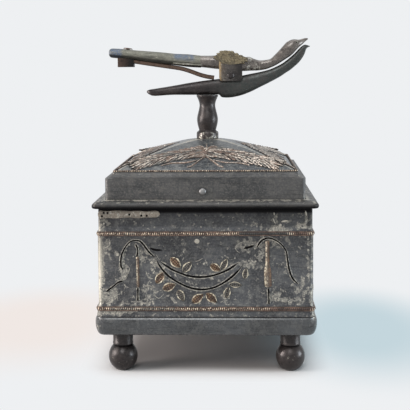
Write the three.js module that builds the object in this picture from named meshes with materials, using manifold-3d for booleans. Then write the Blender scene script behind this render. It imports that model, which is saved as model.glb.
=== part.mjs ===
// A metal sewing box whose domed lid carries a sewing bird, a spring clamp that holds cloth in its
// beak, on a turned post. Millimetres, +Z up, +X to the right of the front, the front faces -Y.
// The origin is on the floor under the middle of the box.

import * as THREE from 'three';
import { mergeVertices } from 'three/addons/utils/BufferGeometryUtils.js';
import Module from 'manifold-3d';

// Running gap between pieces that move or lie loose, and the play of a pin in its hole
const gap = 0.3;
const play = 0.06;

// Box walls. An inset or proud size is measured from the outside of the main field.
const boxWidth = 127.6;
const boxDepth = 127.6;
const wallHeight = 64.7;
const wall = 2;
const wallCorner = 2.5;
const innerCorner = 1;
const bandInset = 0.5;
const bandHeight = 13.4;
const flareHeight = 9;
const flareProud = 1.1;
const flareFoot = 1.6;

// Rope mouldings
const ropeWidth = 2.6;
const ropeProud = 0.9;
const lowerRopeRise = 3.8;
const domeRopeWidth = 1.3;
const domeRopeHeight = 1.2;

// Base frame, its bottom plate and the feet
const baseHeight = 11;
const baseProud = 2.6;
const baseUnderProud = -0.4;
const baseWidestRise = 7.1;
const baseCorner = 4;
const ledge = 2;
const ledgeMargin = 1.2;
const floorThickness = 1.5;
const footHeight = 24.5;
const footInset = 12.9;
const footBallRadius = 8.8;
const footBallHalfHeight = 9.3;
const footNeckRadius = 6.15;
const footNeckFillet = 0.6;
const footSoleRadius = 3.6;

// Foot screws
const screwRadius = 1.5;
const screwHeadRadius = 2.8;
const screwHeadHeight = 1.2;
const screwLength = 12;

// Card lining
const cardThickness = 1.2;
const floorCardThickness = 2;
const liningDrop = 1.5;

// Lid
const rimHeight = 3.5;
const rimProud = 3.2;
const rimEdge = 1.2;
const rimCorner = 4;
const lidBandInset = 4.25;
const lidBandHeight = 13.7;
const lidWall = 2;
const shoulderHeight = 3.4;
const shoulderInset = 4.15;
const shoulderWall = 1.5;
const domeFootInset = 1.4;
const domeHeight = 16.2;
const domePower = 1.2;
const domeBulge = 0.87;
const domeWall = 1.5;
const domeCorner = 1.2;
const plateauRadius = 8;

// Low relief. Paths hold [x, up, width], from the middle of a side and of its field between the ropes.
// They are drawn for a side of this half width and half field, and follow when those change.
const patternHalf = 63.8;
const patternField = 21.1;
const wallRise = 0.5;
const domeRise = 0.7;
const reliefSink = 0.6;
const reliefSection = [[-1, 0], [-0.75, 1], [0.75, 1], [1, 0]];
const festoon = [
  [-27.5, 7.5, 4], [-22.2, -0.5, 6.6], [-14.4, -5.2, 8], [-4, -7, 8.8], [6, -5.4, 8.4], [14.8, -1, 7],
  [20.4, 3.6, 5.6], [24.2, 8.4, 4],
];
const leftArch = [
  [-33.7, 10.6, 1.6], [-37.9, 17.2, 2.6], [-40.2, 18.4, 2.6], [-42.6, 17.8, 2.6], [-47.4, 13.4, 2.6],
  [-49.9, 7, 2.6], [-50.3, -3, 2.6], [-55.3, -7.5, 2.6], [-59.5, -12.3, 1.4],
];
const rightArch = [
  [30.9, 13.4, 1.6], [34.1, 18.4, 2.6], [40.4, 18.8, 2.6], [46.7, 14.2, 2.6], [48.9, 4.2, 2.6],
  [50.3, -3, 2.6], [53.8, -7.6, 1.4],
];
const leftPendant = [[-40.9, 15.4, 1.9], [-40.2, 2, 1.9], [-39.6, -10.5, 1.9], [-39.8, -18.4, 1.2]];
const rightPendant = [[36.3, 17, 3.2], [36.8, 3, 3.2], [37.2, -10.4, 3.2], [37.3, -19.5, 1.2]];
const leftRibbonEnd = [[-33.2, 14.4, 1.4], [-29.8, 13.6, 2.4], [-26.7, 12.4, 1.2]];
const rightRibbonEnd = [[22.6, 13.4, 1.2], [25.7, 14.8, 2.4], [28.8, 15.8, 1.4]];

// Leaves round the festoon: x, up, angle, length, width
const festoonLeaves = [
  [-17.9, 4.4, 135, 7.4, 4.2], [-10.2, 2.8, 50, 7, 4], [4, 2, 140, 6.6, 4], [12, 5.4, 55, 7, 4],
  [-26.9, -3.6, 125, 7, 4], [-21.4, -9.4, 160, 7.4, 4.4], [-14.8, -13.4, 100, 7.4, 4.4],
  [-4.7, -16.2, 50, 7.6, 4.4], [3.3, -15.4, 132, 7.4, 4.4], [12.8, -12, 75, 6.6, 3.8],
  [18, -7.6, 25, 6.4, 3.6], [24.1, -1.2, 100, 6.4, 3.2],
];

// Share of a leaf's length, share of its width
const leafOutline = [[-0.5, 0.2], [-0.15, 1], [0.2, 0.8], [0.5, 0.1]];

// Relief of a dome panel: x as a share of the panel's foot, up as a share of its slope
const garland = [
  [0.05, 0.58, 7], [0.14, 0.57, 9], [0.23, 0.55, 7], [0.32, 0.51, 9], [0.41, 0.46, 7], [0.5, 0.39, 9],
  [0.6, 0.3, 7], [0.69, 0.21, 8.4], [0.77, 0.13, 4],
];
const bowLoop = [[0, 0.6, 1.6], [0.055, 0.68, 1.6], [0.12, 0.64, 1.6], [0.08, 0.56, 1.6], [0.01, 0.57, 1.6]];
const bowTail = [[0, 0.56, 1.6], [0.05, 0.41, 1.6], [0.14, 0.26, 1.6], [0.23, 0.18, 1.2]];

// Rear hinges, each with two knuckles on the box and one on the lid
const hingeInset = 25.8;
const hingeLength = 22;
const knuckleRadius = 1.5;
const hingePinRadius = 0.7;
const leafThickness = 0.8;
const bodyLeafHeight = 10;
const lidLeafDepth = 7;
const lidLeafEdge = 1.2;
const rivetSpacing = 14;
const rivetRadius = 0.8;
const rivetHeadRadius = 1.4;
const rivetHeadHeight = 0.6;

// Outline of a domed rivet or screw head: shares of its radius and of its height
const headOutline = [[1, 0], [1, 0.35], [0.7, 0.85], [0, 1]];

// Outline of the rim's edge from below: inset from its outermost line, share of its height
const rimOutline = [[1, 0], [0.25, 0.12], [0, 0.4], [0.25, 0.7], [rimEdge, 0.88], [2 * rimEdge, 1]];

// Knob on the front of the lid
const knobOffset = -1.4;
const knobRise = 6;
const knobRadius = 2.1;
const knobProud = 1.9;
const knobShankRadius = 1;
const knobWasherRadius = 2.4;
const knobWasherThickness = 0.6;
const knobEnd = 0.4;
const knobOutline = [[0.7, 0], [0.7, 0.2], [1, 0.45], [0.85, 0.8], [0.45, 1], [0, 1]];

// Post of the bird
const postHeight = 28.3;
const collarRadius = 7.1;
const collarHeight = 5.2;
const collarChamfer = 1.2;
const bellyFootRadius = 5.5;
const bellyFootRise = 0.4;
const bellyRadius = 6.8;
const bellyHeight = 12.6;
const neckRadius = 5.1;
const neckHeight = 21.6;
const flareRadius = 7;
const flareEdge = 1;
const flareStep = 0.4;
const studRadius = 2;
const studLength = 8;
const tenonRadius = 2.5;
const tenonHeight = 4;
const washerRadius = 6;
const washerThickness = 1;
const nutRadius = 4;
const nutThickness = 3;

// Bird, with heights measured from the top of the post and its outlines given in birdUnit
const birdUnit = 1;
const pivotX = 15.3;
const pivotRise = 12.6;
const pivotRadius = 1.3;
const pivotHeadRadius = 2.2;
const pivotHeadHeight = 0.8;
const lugWidth = 7;
const lugRadius = 2.8;
const earThickness = 2;
const earLength = 14.9;
const earDrop = 3.6;
const earRise = 6;
const earCorner = 2.5;
const bodyHalfWidth = 5;
const wingThickness = 1.6;
const tailRoot = -4;
const tailTenonLength = 7;
const tailTenonWidth = 5;
const tailTenonHeight = 3;
const tailTenonRise = 23;
const springThickness = 2.5;
const springWidth = 6;
const springRootX = -52.3;
const springRootRise = 22.25;
const tailTilt = 0.118;
const tailRivetRadius = 1.2;
const tailRivetHeadRadius = 3.1;
const tailRivetHeadHeight = 0.8;
const tailRivetSeat = 7.9;
const blockLength = 10.2;
const blockWidth = 7.4;
const blockHeight = 1.7;

// Heights and half sizes that follow
const baseTop = footHeight + baseHeight;
const wallTop = baseTop + wallHeight;
const rimBottom = wallTop + gap;
const rimTop = rimBottom + rimHeight;
const lidBandTop = rimTop + lidBandHeight;
const shoulderTop = lidBandTop + shoulderHeight;
const plateauTop = shoulderTop + domeHeight;
const postTop = plateauTop + postHeight;
const ledgeTop = footHeight + ledge;
const floorTop = ledgeTop + floorThickness;
const halfWidth = boxWidth / 2;
const halfDepth = boxDepth / 2;
const domeFoot = lidBandInset + shoulderInset + domeFootInset;
const footX = halfWidth - footInset;
const footY = halfDepth - footInset;
const hingeX = halfWidth - hingeInset;

const cornerSteps = 4;
const ropeSteps = 4;
const baseSteps = 3;
const ballSteps = 8;
const coveSteps = 4;
const domeSteps = 7;
const slopeStep = 0.02;
const bellySteps = 9;
const castSides = 12;
const castSquareness = 0.6;
const wingPoints = 26;
const quarterTurn = Math.PI / 2;
const finePin = 16;
const footTurn = 20;
const fineTurn = 24;

const wasm = await Module();
wasm.setup();

function finish(color, roughness, metalness) {
  return new THREE.MeshStandardMaterial({ color, roughness, metalness });
}

const darkMetal = finish(0x454a4e, 0.5, 0.6);
const copper = finish(0x96644f, 0.45, 0.8);
const agedIron = finish(0x3a3431, 0.55, 0.7);
const brass = finish(0x8d7442, 0.4, 0.85);
const steel = finish(0x8a8b8d, 0.4, 0.9);
const springSteel = finish(0x5c4030, 0.55, 0.7);
const velvet = finish(0x5a2226, 0.95, 0);

function piece(parent, name, geometry, material) {
  const mesh = new THREE.Mesh(geometry, material);
  mesh.name = name;
  parent.add(mesh);
  return mesh;
}

// Closed mesh with shared vertices, no flat triangles and every face pointing out
function clean(geometry) {
  const bare = geometry.clone();
  bare.deleteAttribute('normal');
  bare.deleteAttribute('uv');
  const merged = mergeVertices(bare, 1e-4);
  const place = merged.attributes.position;
  const [a, b, c] = [new THREE.Vector3(), new THREE.Vector3(), new THREE.Vector3()];
  const kept = [];
  let volume = 0;
  for (let i = 0; i < merged.index.count; i += 3) {
    const [p, q, r] = merged.index.array.slice(i, i + 3);
    if (p === q || q === r || r === p) continue;
    kept.push(p, q, r);
    a.fromBufferAttribute(place, p);
    b.fromBufferAttribute(place, q);
    c.fromBufferAttribute(place, r);
    volume += a.dot(b.cross(c));
  }
  merged.setIndex(volume < 0 ? kept.reverse() : kept);
  return merged;
}

function toSolid(geometry) {
  const { index, attributes } = clean(geometry);
  const vertProperties = new Float32Array(attributes.position.array);
  const triVerts = new Uint32Array(index.array);
  return new wasm.Manifold(new wasm.Mesh({ numProp: 3, vertProperties, triVerts }));
}

function toGeometry(solid) {
  const { vertProperties, triVerts } = solid.getMesh();
  const geometry = new THREE.BufferGeometry();
  geometry.setAttribute('position', new THREE.Float32BufferAttribute(vertProperties, 3));
  geometry.setIndex(Array.from(triVerts));
  return geometry;
}

function cut(geometry, tools) {
  return toGeometry(tools.reduce((rest, tool) => rest.subtract(toSolid(tool)), toSolid(geometry)));
}

function join(geometries) {
  return toGeometry(geometries.map(toSolid).reduce((whole, part) => whole.add(part)));
}

// Skin over loops with equally many points: a ring of loops, or a run with a cap at each end
function skin(loops, ring) {
  const count = loops[0].length;
  const spans = ring ? loops.length : loops.length - 1;
  const indices = [];
  for (let i = 0; i < spans; i += 1) {
    const here = i * count;
    const next = ((i + 1) % loops.length) * count;
    for (let j = 0; j < count; j += 1) {
      const k = (j + 1) % count;
      indices.push(here + j, here + k, next + k, here + j, next + k, next + j);
    }
  }
  const last = (loops.length - 1) * count;
  for (let j = 1; !ring && j < count - 1; j += 1) {
    indices.push(0, j + 1, j, last, last + j, last + j + 1);
  }
  const geometry = new THREE.BufferGeometry();
  geometry.setAttribute('position', new THREE.Float32BufferAttribute(loops.flat(2), 3));
  geometry.setIndex(indices);
  return clean(geometry);
}

// Rectangle with rounded corners at height z
function planLoop(halfX, halfY, z, radius) {
  const loop = [];
  [[1, 1], [-1, 1], [-1, -1], [1, -1]].forEach(([signX, signY], quadrant) => {
    for (let step = 0; step <= cornerSteps; step += 1) {
      const angle = (quadrant + step / cornerSteps) * quarterTurn;
      const x = signX * (halfX - radius) + radius * Math.cos(angle);
      const y = signY * (halfY - radius) + radius * Math.sin(angle);
      loop.push([x, y, z]);
    }
  });
  return loop;
}

// Frame round the box from a closed profile of [proud, height, corner radius]
function frame(profile) {
  const loops = profile.map(([proud, z, radius]) => (
    planLoop(halfWidth + proud, halfDepth + proud, z, radius)));
  return skin(loops, true);
}

function block(lengthX, lengthY, lengthZ, x, y, bottom) {
  return new THREE.BoxGeometry(lengthX, lengthY, lengthZ).translate(x, y, bottom + lengthZ / 2);
}

function upright(radius, bottom, top, x = 0, y = 0, sides = finePin) {
  return new THREE.CylinderGeometry(radius, radius, top - bottom, sides)
    .rotateX(quarterTurn).translate(x, y, (bottom + top) / 2);
}

function alongX(radius, length, x, y, z) {
  return new THREE.CylinderGeometry(radius, radius, length, finePin)
    .rotateZ(quarterTurn).translate(x, y, z);
}

function alongY(radius, length, x, y, z) {
  return new THREE.CylinderGeometry(radius, radius, length, finePin).translate(x, y, z);
}

// Body of revolution about Z from a profile of [radius, height]
function turned(profile, sides) {
  const points = profile.map(([radius, height]) => new THREE.Vector2(radius, height));
  return clean(new THREE.LatheGeometry(points, sides).rotateX(quarterTurn));
}

function washerShape(radius, holeRadius, bottom, top) {
  return turned([
    [holeRadius, bottom], [radius, bottom], [radius, top], [holeRadius, top], [holeRadius, bottom],
  ], fineTurn);
}

// Rivet or screw with a domed head above its seat at height 0 and a plain shank below it
function headed(headRadius, headHeight, shankRadius, shankLength, sides) {
  const head = headOutline.map(([across, up]) => [across * headRadius, up * headHeight]);
  return turned([
    [0, -shankLength], [shankRadius, -shankLength], [shankRadius, 0], ...head,
  ], sides);
}

const object = new THREE.Group();
const lid = new THREE.Group();
const bird = new THREE.Group();
const jaw = new THREE.Group();
object.add(lid);
lid.add(bird);
bird.add(jaw);
bird.position.z = postTop;

const corners = [
  ['front_left', -1, -1], ['front_right', 1, -1], ['back_left', -1, 1], ['back_right', 1, 1],
];
const sides = [['left', -1], ['right', 1]];

// Rear hinge places. The barrel hangs under the lid's rim, close behind the upper band.
const bandBack = halfDepth - bandInset;
const hingeY = bandBack + gap + knuckleRadius;
const hingeZ = rimBottom - gap - knuckleRadius;
const knuckleLength = (hingeLength - 2 * gap) / 3;
const bodyLeafTop = hingeZ - knuckleRadius - gap;
const bodyLeafBottom = hingeZ - bodyLeafHeight;
const bodyRivetZ = (bodyLeafTop + bodyLeafBottom) / 2;
const lidLeafBack = halfDepth + rimProud - lidLeafEdge;
const lidRivetY = lidLeafBack - lidLeafDepth / 2;
const rivetPlaces = sides.flatMap(([side, sign]) => sides.map(([end, endSign]) => (
  [`${side}_${end}`, sign * hingeX + endSign * rivetSpacing / 2])));

function makeWalls() {
  const ropeTop = wallTop - bandHeight;
  const lowerSeat = flareProud * (1 - lowerRopeRise / flareHeight);
  const lowerRope = baseTop + lowerRopeRise;
  const walls = frame([
    [flareProud, baseTop, wallCorner + flareProud],
    [flareProud, baseTop + flareFoot, wallCorner + flareProud],
    [lowerSeat, lowerRope, wallCorner + lowerSeat],
    [lowerSeat, lowerRope + ropeWidth, wallCorner + lowerSeat],
    [0, baseTop + flareHeight, wallCorner],
    [0, ropeTop, wallCorner],
    [-bandInset, ropeTop + bandInset, wallCorner - bandInset],
    [-bandInset, wallTop, wallCorner - bandInset],
    [-wall, wallTop, innerCorner],
    [-wall, baseTop, innerCorner],
  ]);
  const holes = rivetPlaces.map(([, x]) => (
    alongY(rivetRadius + play, 4 * wall, x, bandBack, bodyRivetZ)));
  piece(object, 'body_walls', cut(join([walls, ...wallRelief()]), holes), darkMetal);
  piece(object, 'upper_rope_line', ropeRing(0, ropeTop - ropeWidth), copper);
  piece(object, 'lower_rope_line', ropeRing(lowerSeat, lowerRope), copper);
}

// Strip of low relief along a path of [x, up, width], laid on a surface by place(x, up, out)
function strip(path, rise, place) {
  const loops = path.map(([x, up, width], i) => {
    const [fromX, fromUp] = path[Math.max(i - 1, 0)];
    const [toX, toUp] = path[Math.min(i + 1, path.length - 1)];
    const half = width / 2 / Math.hypot(toX - fromX, toUp - fromUp);
    return reliefSection.map(([side, share]) => place(
      x + side * half * (fromUp - toUp), up + side * half * (toX - fromX),
      share > 0 ? share * rise : -reliefSink));
  });
  return skin(loops, false);
}

function leafPath([x, up, degrees, length, width]) {
  const angle = THREE.MathUtils.degToRad(degrees);
  return leafOutline.map(([along, across]) => (
    [x + along * length * Math.cos(angle), up + along * length * Math.sin(angle), across * width]));
}

// The same relief on all four sides. Each side is made facing -Y and turned into its place.
function onEachSide(make) {
  return [0, 1, 2, 3].flatMap((quarter) => {
    const lengths = quarter % 2 ? [halfDepth, halfWidth] : [halfWidth, halfDepth];
    return make(...lengths).map((relief) => relief.rotateZ(quarter * quarterTurn));
  });
}

function wallRelief() {
  const [fieldLow, fieldHigh] = [baseTop + lowerRopeRise + ropeWidth, wallTop - bandHeight - ropeWidth];
  const middle = (fieldLow + fieldHigh) / 2;
  const upScale = (fieldHigh - fieldLow) / 2 / patternField;
  const ribbons = [festoon, leftArch, rightArch, leftPendant, rightPendant, leftRibbonEnd, rightRibbonEnd];
  return onEachSide((halfAlong, halfOut) => {
    const place = (x, up, out) => [x * halfAlong / patternHalf, -halfOut - out, middle + up * upScale];
    return [...ribbons, ...festoonLeaves.map(leafPath)].map((path) => strip(path, wallRise, place));
  });
}

// Half-round moulding that sits on a wall standing proud by seat
function ropeRing(seat, bottom) {
  const profile = [];
  for (let i = 0; i <= ropeSteps; i += 1) {
    const angle = (i / ropeSteps) * Math.PI;
    const out = ropeProud * Math.sin(angle);
    const z = bottom + ropeWidth * (1 - Math.cos(angle)) / 2;
    profile.push([seat + out, z, wallCorner + seat + out]);
  }
  return frame(profile);
}

function makeBase() {
  const innerReach = footInset + footNeckRadius + ledgeMargin;
  const widest = footHeight + baseWidestRise;
  const profile = [];
  for (let i = 0; i <= 2 * baseSteps; i += 1) {
    const angle = (i / baseSteps - 1) * quarterTurn;
    const rise = Math.sin(angle);
    const rest = rise < 0 ? baseUnderProud : flareProud;
    const span = rise < 0 ? baseWidestRise : baseHeight - baseWidestRise;
    const proud = rest + (baseProud - rest) * Math.cos(angle);
    profile.push([proud, widest + span * rise, baseCorner - baseProud + proud]);
  }
  profile.push([-wall, baseTop, innerCorner], [-wall, ledgeTop, innerCorner]);
  profile.push([-innerReach, ledgeTop, innerCorner], [-innerReach, footHeight, innerCorner]);
  const holes = corners.map(([, signX, signY]) => (
    upright(screwRadius + play, footHeight - ledge, floorTop + ledge, signX * footX, signY * footY)));
  const inset = 2 * (wall + gap);
  const plate = block(boxWidth - inset, boxDepth - inset, floorThickness, 0, 0, ledgeTop);
  piece(object, 'base_moulding', cut(frame(profile), holes), darkMetal);
  piece(object, 'floor_plate', cut(plate, holes), darkMetal);
}

function footProfile() {
  const soleAngle = Math.asin(footSoleRadius / footBallRadius);
  const neckAngle = Math.PI - Math.asin(footNeckRadius / footBallRadius);
  const centre = footBallHalfHeight * Math.cos(soleAngle);
  const profile = [[0, 0]];
  for (let i = 0; i <= ballSteps; i += 1) {
    const angle = soleAngle + (neckAngle - soleAngle) * (i / ballSteps);
    profile.push([footBallRadius * Math.sin(angle), centre - footBallHalfHeight * Math.cos(angle)]);
  }
  const throat = centre + footBallHalfHeight;
  profile.push([footNeckRadius - footNeckFillet, throat - footNeckFillet]);
  profile.push([footNeckRadius, throat + footNeckFillet]);
  profile.push([footNeckRadius, footHeight], [0, footHeight]);
  return profile;
}

function makeFeet() {
  const foot = turned(footProfile(), footTurn);
  const holeDepth = screwLength - floorThickness - ledge + gap;
  const hole = upright(screwRadius + play, footHeight - holeDepth, footHeight + ledge);
  const drilled = cut(foot, [hole]);
  const screw = headed(screwHeadRadius, screwHeadHeight, screwRadius, screwLength, finePin);
  corners.forEach(([corner, signX, signY]) => {
    piece(object, `foot_${corner}`, drilled, agedIron).position.set(signX * footX, signY * footY, 0);
    piece(object, `foot_screw_${corner}`, screw, steel)
      .position.set(signX * footX, signY * footY, floorTop);
  });
}

function makeLining() {
  const outer = -wall - gap;
  const inner = outer - cardThickness;
  const [bottom, top] = [floorTop + gap, wallTop - liningDrop];
  const inset = 2 * (wall + cardThickness + 2 * gap);
  const sleeve = frame([
    [outer, bottom, innerCorner], [outer, top, innerCorner],
    [inner, top, innerCorner / 2], [inner, bottom, innerCorner / 2],
  ]);
  const card = block(boxWidth - inset, boxDepth - inset, floorCardThickness, 0, 0,
    floorTop + screwHeadHeight + gap);
  piece(object, 'lining_sleeve', sleeve, velvet);
  piece(object, 'lining_floor', card, velvet);
}

function makeBodyLeaf() {
  const leafY = bandBack + leafThickness / 2;
  const tabHeight = hingeZ - bodyLeafBottom;
  const parts = [block(hingeLength, leafThickness, bodyLeafTop - bodyLeafBottom, 0, leafY, bodyLeafBottom)];
  sides.forEach(([, sign]) => {
    const x = sign * (knuckleLength + gap);
    parts.push(block(knuckleLength, leafThickness, tabHeight, x, leafY, bodyLeafBottom));
    parts.push(alongX(knuckleRadius, knuckleLength, x, hingeY, hingeZ));
  });
  const holes = sides.map(([, sign]) => (
    alongY(rivetRadius + play, 4 * leafThickness, sign * rivetSpacing / 2, leafY, bodyRivetZ)));
  holes.push(alongX(hingePinRadius + play, 2 * hingeLength, 0, hingeY, hingeZ));
  return cut(join(parts), holes);
}

function makeLidLeaf() {
  const webThickness = knuckleRadius;
  const parts = [
    block(hingeLength, lidLeafDepth, leafThickness, 0, lidRivetY, rimBottom),
    block(knuckleLength, webThickness, rimBottom + leafThickness - hingeZ, 0, hingeY, hingeZ),
    alongX(knuckleRadius, knuckleLength, 0, hingeY, hingeZ),
  ];
  const holes = sides.map(([, sign]) => (
    upright(rivetRadius + play, rimBottom - gap, rimTop, sign * rivetSpacing / 2, lidRivetY)));
  holes.push(alongX(hingePinRadius + play, 2 * hingeLength, 0, hingeY, hingeZ));
  return cut(join(parts), holes);
}

function makeHinges() {
  const bodyLeaf = makeBodyLeaf();
  const lidLeaf = makeLidLeaf();
  const pin = alongX(hingePinRadius, hingeLength, 0, hingeY, hingeZ);
  sides.forEach(([side, sign]) => {
    const x = sign * hingeX;
    piece(object, `hinge_${side}_body_leaf`, bodyLeaf, steel).position.x = x;
    piece(object, `hinge_${side}_pin`, pin, steel).position.x = x;
    piece(lid, `hinge_${side}_lid_leaf`, lidLeaf, steel).position.x = x;
  });
  const bodyShank = leafThickness + wall - bandInset;
  const bodyRivet = headed(rivetHeadRadius, rivetHeadHeight, rivetRadius, bodyShank, finePin)
    .rotateX(-quarterTurn);
  const lidRivet = headed(rivetHeadRadius, rivetHeadHeight, rivetRadius, rimHeight, finePin);
  rivetPlaces.forEach(([place, x]) => {
    piece(object, `body_rivet_${place}`, bodyRivet, steel)
      .position.set(x, bandBack + leafThickness, bodyRivetZ);
    piece(lid, `lid_rivet_${place}`, lidRivet, steel).position.set(x, lidRivetY, rimTop);
  });
}

function makeLidRim() {
  const inner = -lidBandInset - lidWall;
  const profile = rimOutline.map(([inset, share]) => (
    [rimProud - inset, rimBottom + share * rimHeight, rimCorner - inset]));
  profile.push([inner, rimTop, innerCorner], [inner, rimBottom, innerCorner]);
  const pockets = sides.map(([, sign]) => (
    block(hingeLength + 2 * gap, lidLeafDepth + 2 * gap, leafThickness + gap,
      sign * hingeX, lidRivetY, rimBottom - gap)));
  const holes = rivetPlaces.map(([, x]) => (
    upright(rivetRadius + play, rimBottom - gap, rimTop + gap, x, lidRivetY)));
  piece(lid, 'lid_rim', cut(frame(profile), [...pockets, ...holes]), darkMetal);
}

function makeLidBand() {
  const shoulder = lidBandInset + shoulderInset;
  const lip = domeFoot + domeWall + shoulderWall;
  const profile = [[-lidBandInset, rimTop, wallCorner]];
  for (let i = 0; i <= coveSteps; i += 1) {
    const angle = (i / coveSteps) * quarterTurn;
    const inset = lidBandInset + shoulderInset * Math.sin(angle);
    const radius = wallCorner - (wallCorner - domeCorner) * (i / coveSteps);
    profile.push([-inset, lidBandTop + shoulderHeight * (1 - Math.cos(angle)), radius]);
  }
  profile.push([-lip, shoulderTop, innerCorner], [-lip, shoulderTop - shoulderWall, innerCorner]);
  profile.push([-shoulder - shoulderWall, shoulderTop - shoulderWall, innerCorner]);
  profile.push([-lidBandInset - lidWall, lidBandTop - shoulderWall, innerCorner]);
  profile.push([-lidBandInset - lidWall, rimTop, innerCorner]);
  const frontY = -halfDepth + lidBandInset;
  const hole = alongY(knobShankRadius + play, 4 * lidWall, knobOffset, frontY, rimTop + knobRise);
  piece(lid, 'lid_band', cut(frame(profile), [hole]), darkMetal);
  const ropeFoot = shoulderTop;
  const ropeTop = shoulderTop + domeRopeHeight;
  const rope = frame([
    [-domeFoot, ropeFoot, domeCorner],
    [-domeFoot + domeRopeWidth, ropeFoot, domeCorner + domeRopeWidth],
    [-domeFoot + domeRopeWidth, (ropeFoot + ropeTop) / 2, domeCorner + domeRopeWidth],
    [-domeFoot + domeRopeWidth / 2, ropeTop, domeCorner + domeRopeWidth / 2],
    [-domeFoot, ropeTop, domeCorner],
  ]);
  piece(lid, 'dome_rope_line', rope, copper);
}

function domeHeightAt(share) {
  return shoulderTop + domeHeight * (1 - (1 - share) ** domePower) ** domeBulge;
}

// Leaf garlands that fall from a bow to the corners of each dome panel
function domeRelief() {
  return onEachSide((halfAlong, halfOut) => {
    const [footAlong, footOut] = [halfAlong - domeFoot, halfOut - domeFoot];
    const slope = Math.hypot(footOut - plateauRadius, domeHeight);
    const at = (share) => (
      new THREE.Vector2(-THREE.MathUtils.lerp(footOut, plateauRadius, share), domeHeightAt(share)));
    const place = (x, up, out) => {
      const share = up / slope;
      const rising = at(share + slopeStep).sub(at(share - slopeStep)).normalize();
      const spot = at(share).add(rising.rotateAround(new THREE.Vector2(), quarterTurn).multiplyScalar(out));
      return [x, spot.x, spot.y];
    };
    const paths = sides.flatMap(([, sign]) => [garland, bowLoop, bowTail].map((path) => (
      path.map(([x, up, width]) => [sign * x * footAlong, up * slope, width]))));
    return paths.map((path) => strip(path, domeRise, place));
  });
}

// Dome of four curved panels that meet in hips, flat on top under the post
function makeDome() {
  const [footHalfX, footHalfY] = [halfWidth - domeFoot, halfDepth - domeFoot];
  const levels = Array.from({ length: domeSteps + 1 }, (unused, i) => i / domeSteps);
  const loopAt = (share, inward, z) => {
    const halfX = THREE.MathUtils.lerp(footHalfX - inward, plateauRadius, share);
    const halfY = THREE.MathUtils.lerp(footHalfY - inward, plateauRadius, share);
    const radius = THREE.MathUtils.lerp(domeCorner, 0.9 * plateauRadius, share ** 6);
    return planLoop(halfX, halfY, z, radius);
  };
  const outer = levels.map((share) => loopAt(share, 0, domeHeightAt(share)));
  const inner = levels.map((share) => (
    loopAt(share, domeWall, Math.max(shoulderTop, domeHeightAt(share) - domeWall))));
  const shell = skin([...inner.reverse(), ...outer], false);
  const hole = upright(studRadius + gap, shoulderTop, plateauTop + gap);
  piece(lid, 'lid_dome', cut(join([shell, ...domeRelief()]), [hole]), darkMetal);
}

function makeKnob() {
  const shank = lidWall + knobWasherThickness + knobEnd;
  const head = knobOutline.map(([across, out]) => [across * knobRadius, out * knobProud]);
  const knob = turned([
    [0, -shank], [knobShankRadius, -shank], [knobShankRadius, 0], ...head,
  ], fineTurn).rotateX(quarterTurn);
  const washer = washerShape(knobWasherRadius, knobShankRadius + play,
    -lidWall - knobWasherThickness, -lidWall).rotateX(quarterTurn);
  const frontY = -halfDepth + lidBandInset;
  piece(lid, 'lid_knob', knob, steel).position.set(knobOffset, frontY, rimTop + knobRise);
  piece(lid, 'knob_washer', washer, steel).position.set(knobOffset, frontY, rimTop + knobRise);
}

function makePost() {
  const belly = new THREE.SplineCurve([
    new THREE.Vector2(bellyFootRadius, collarHeight + bellyFootRise),
    new THREE.Vector2(bellyRadius, bellyHeight),
    new THREE.Vector2(neckRadius, neckHeight),
    new THREE.Vector2(flareRadius - flareStep, postHeight - flareEdge - flareStep),
  ]).getPoints(bellySteps).map(({ x, y }) => [x, y]);
  const post = turned([
    [0, -studLength], [studRadius, -studLength], [studRadius, 0],
    [collarRadius, 0], [collarRadius, collarHeight - collarChamfer],
    [collarRadius - collarChamfer, collarHeight],
    ...belly,
    [flareRadius, postHeight - flareEdge], [flareRadius, postHeight],
    [tenonRadius, postHeight], [tenonRadius, postHeight + tenonHeight], [0, postHeight + tenonHeight],
  ], fineTurn);
  piece(lid, 'post', post, agedIron).position.z = plateauTop;
  const washerTop = plateauTop - domeWall;
  const washerBottom = washerTop - washerThickness;
  const hole = studRadius + play;
  piece(lid, 'post_washer', washerShape(washerRadius, hole, washerBottom, washerTop), steel);
  const nut = upright(nutRadius, washerBottom - nutThickness, washerBottom, 0, 0, 6);
  const bore = upright(hole, washerBottom - 2 * nutThickness, washerBottom + nutThickness);
  piece(lid, 'post_nut', cut(nut, [bore]), steel);
}

// Cast form along X from stations of [x, bottom, top, half width], with rounded oblong sections
function cast(stations) {
  const rounded = (value) => Math.sign(value) * Math.abs(value) ** castSquareness;
  const scaled = stations.map((station) => station.map((value) => value * birdUnit));
  const loops = scaled.map(([x, bottom, top, half]) => (
    Array.from({ length: castSides }, (unused, i) => {
      const angle = ((i + 0.5) / castSides) * 2 * Math.PI;
      const z = (bottom + top) / 2 + (top - bottom) / 2 * rounded(Math.sin(angle));
      return [x, half * rounded(Math.cos(angle)), z];
    })));
  return skin(loops, false);
}

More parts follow.
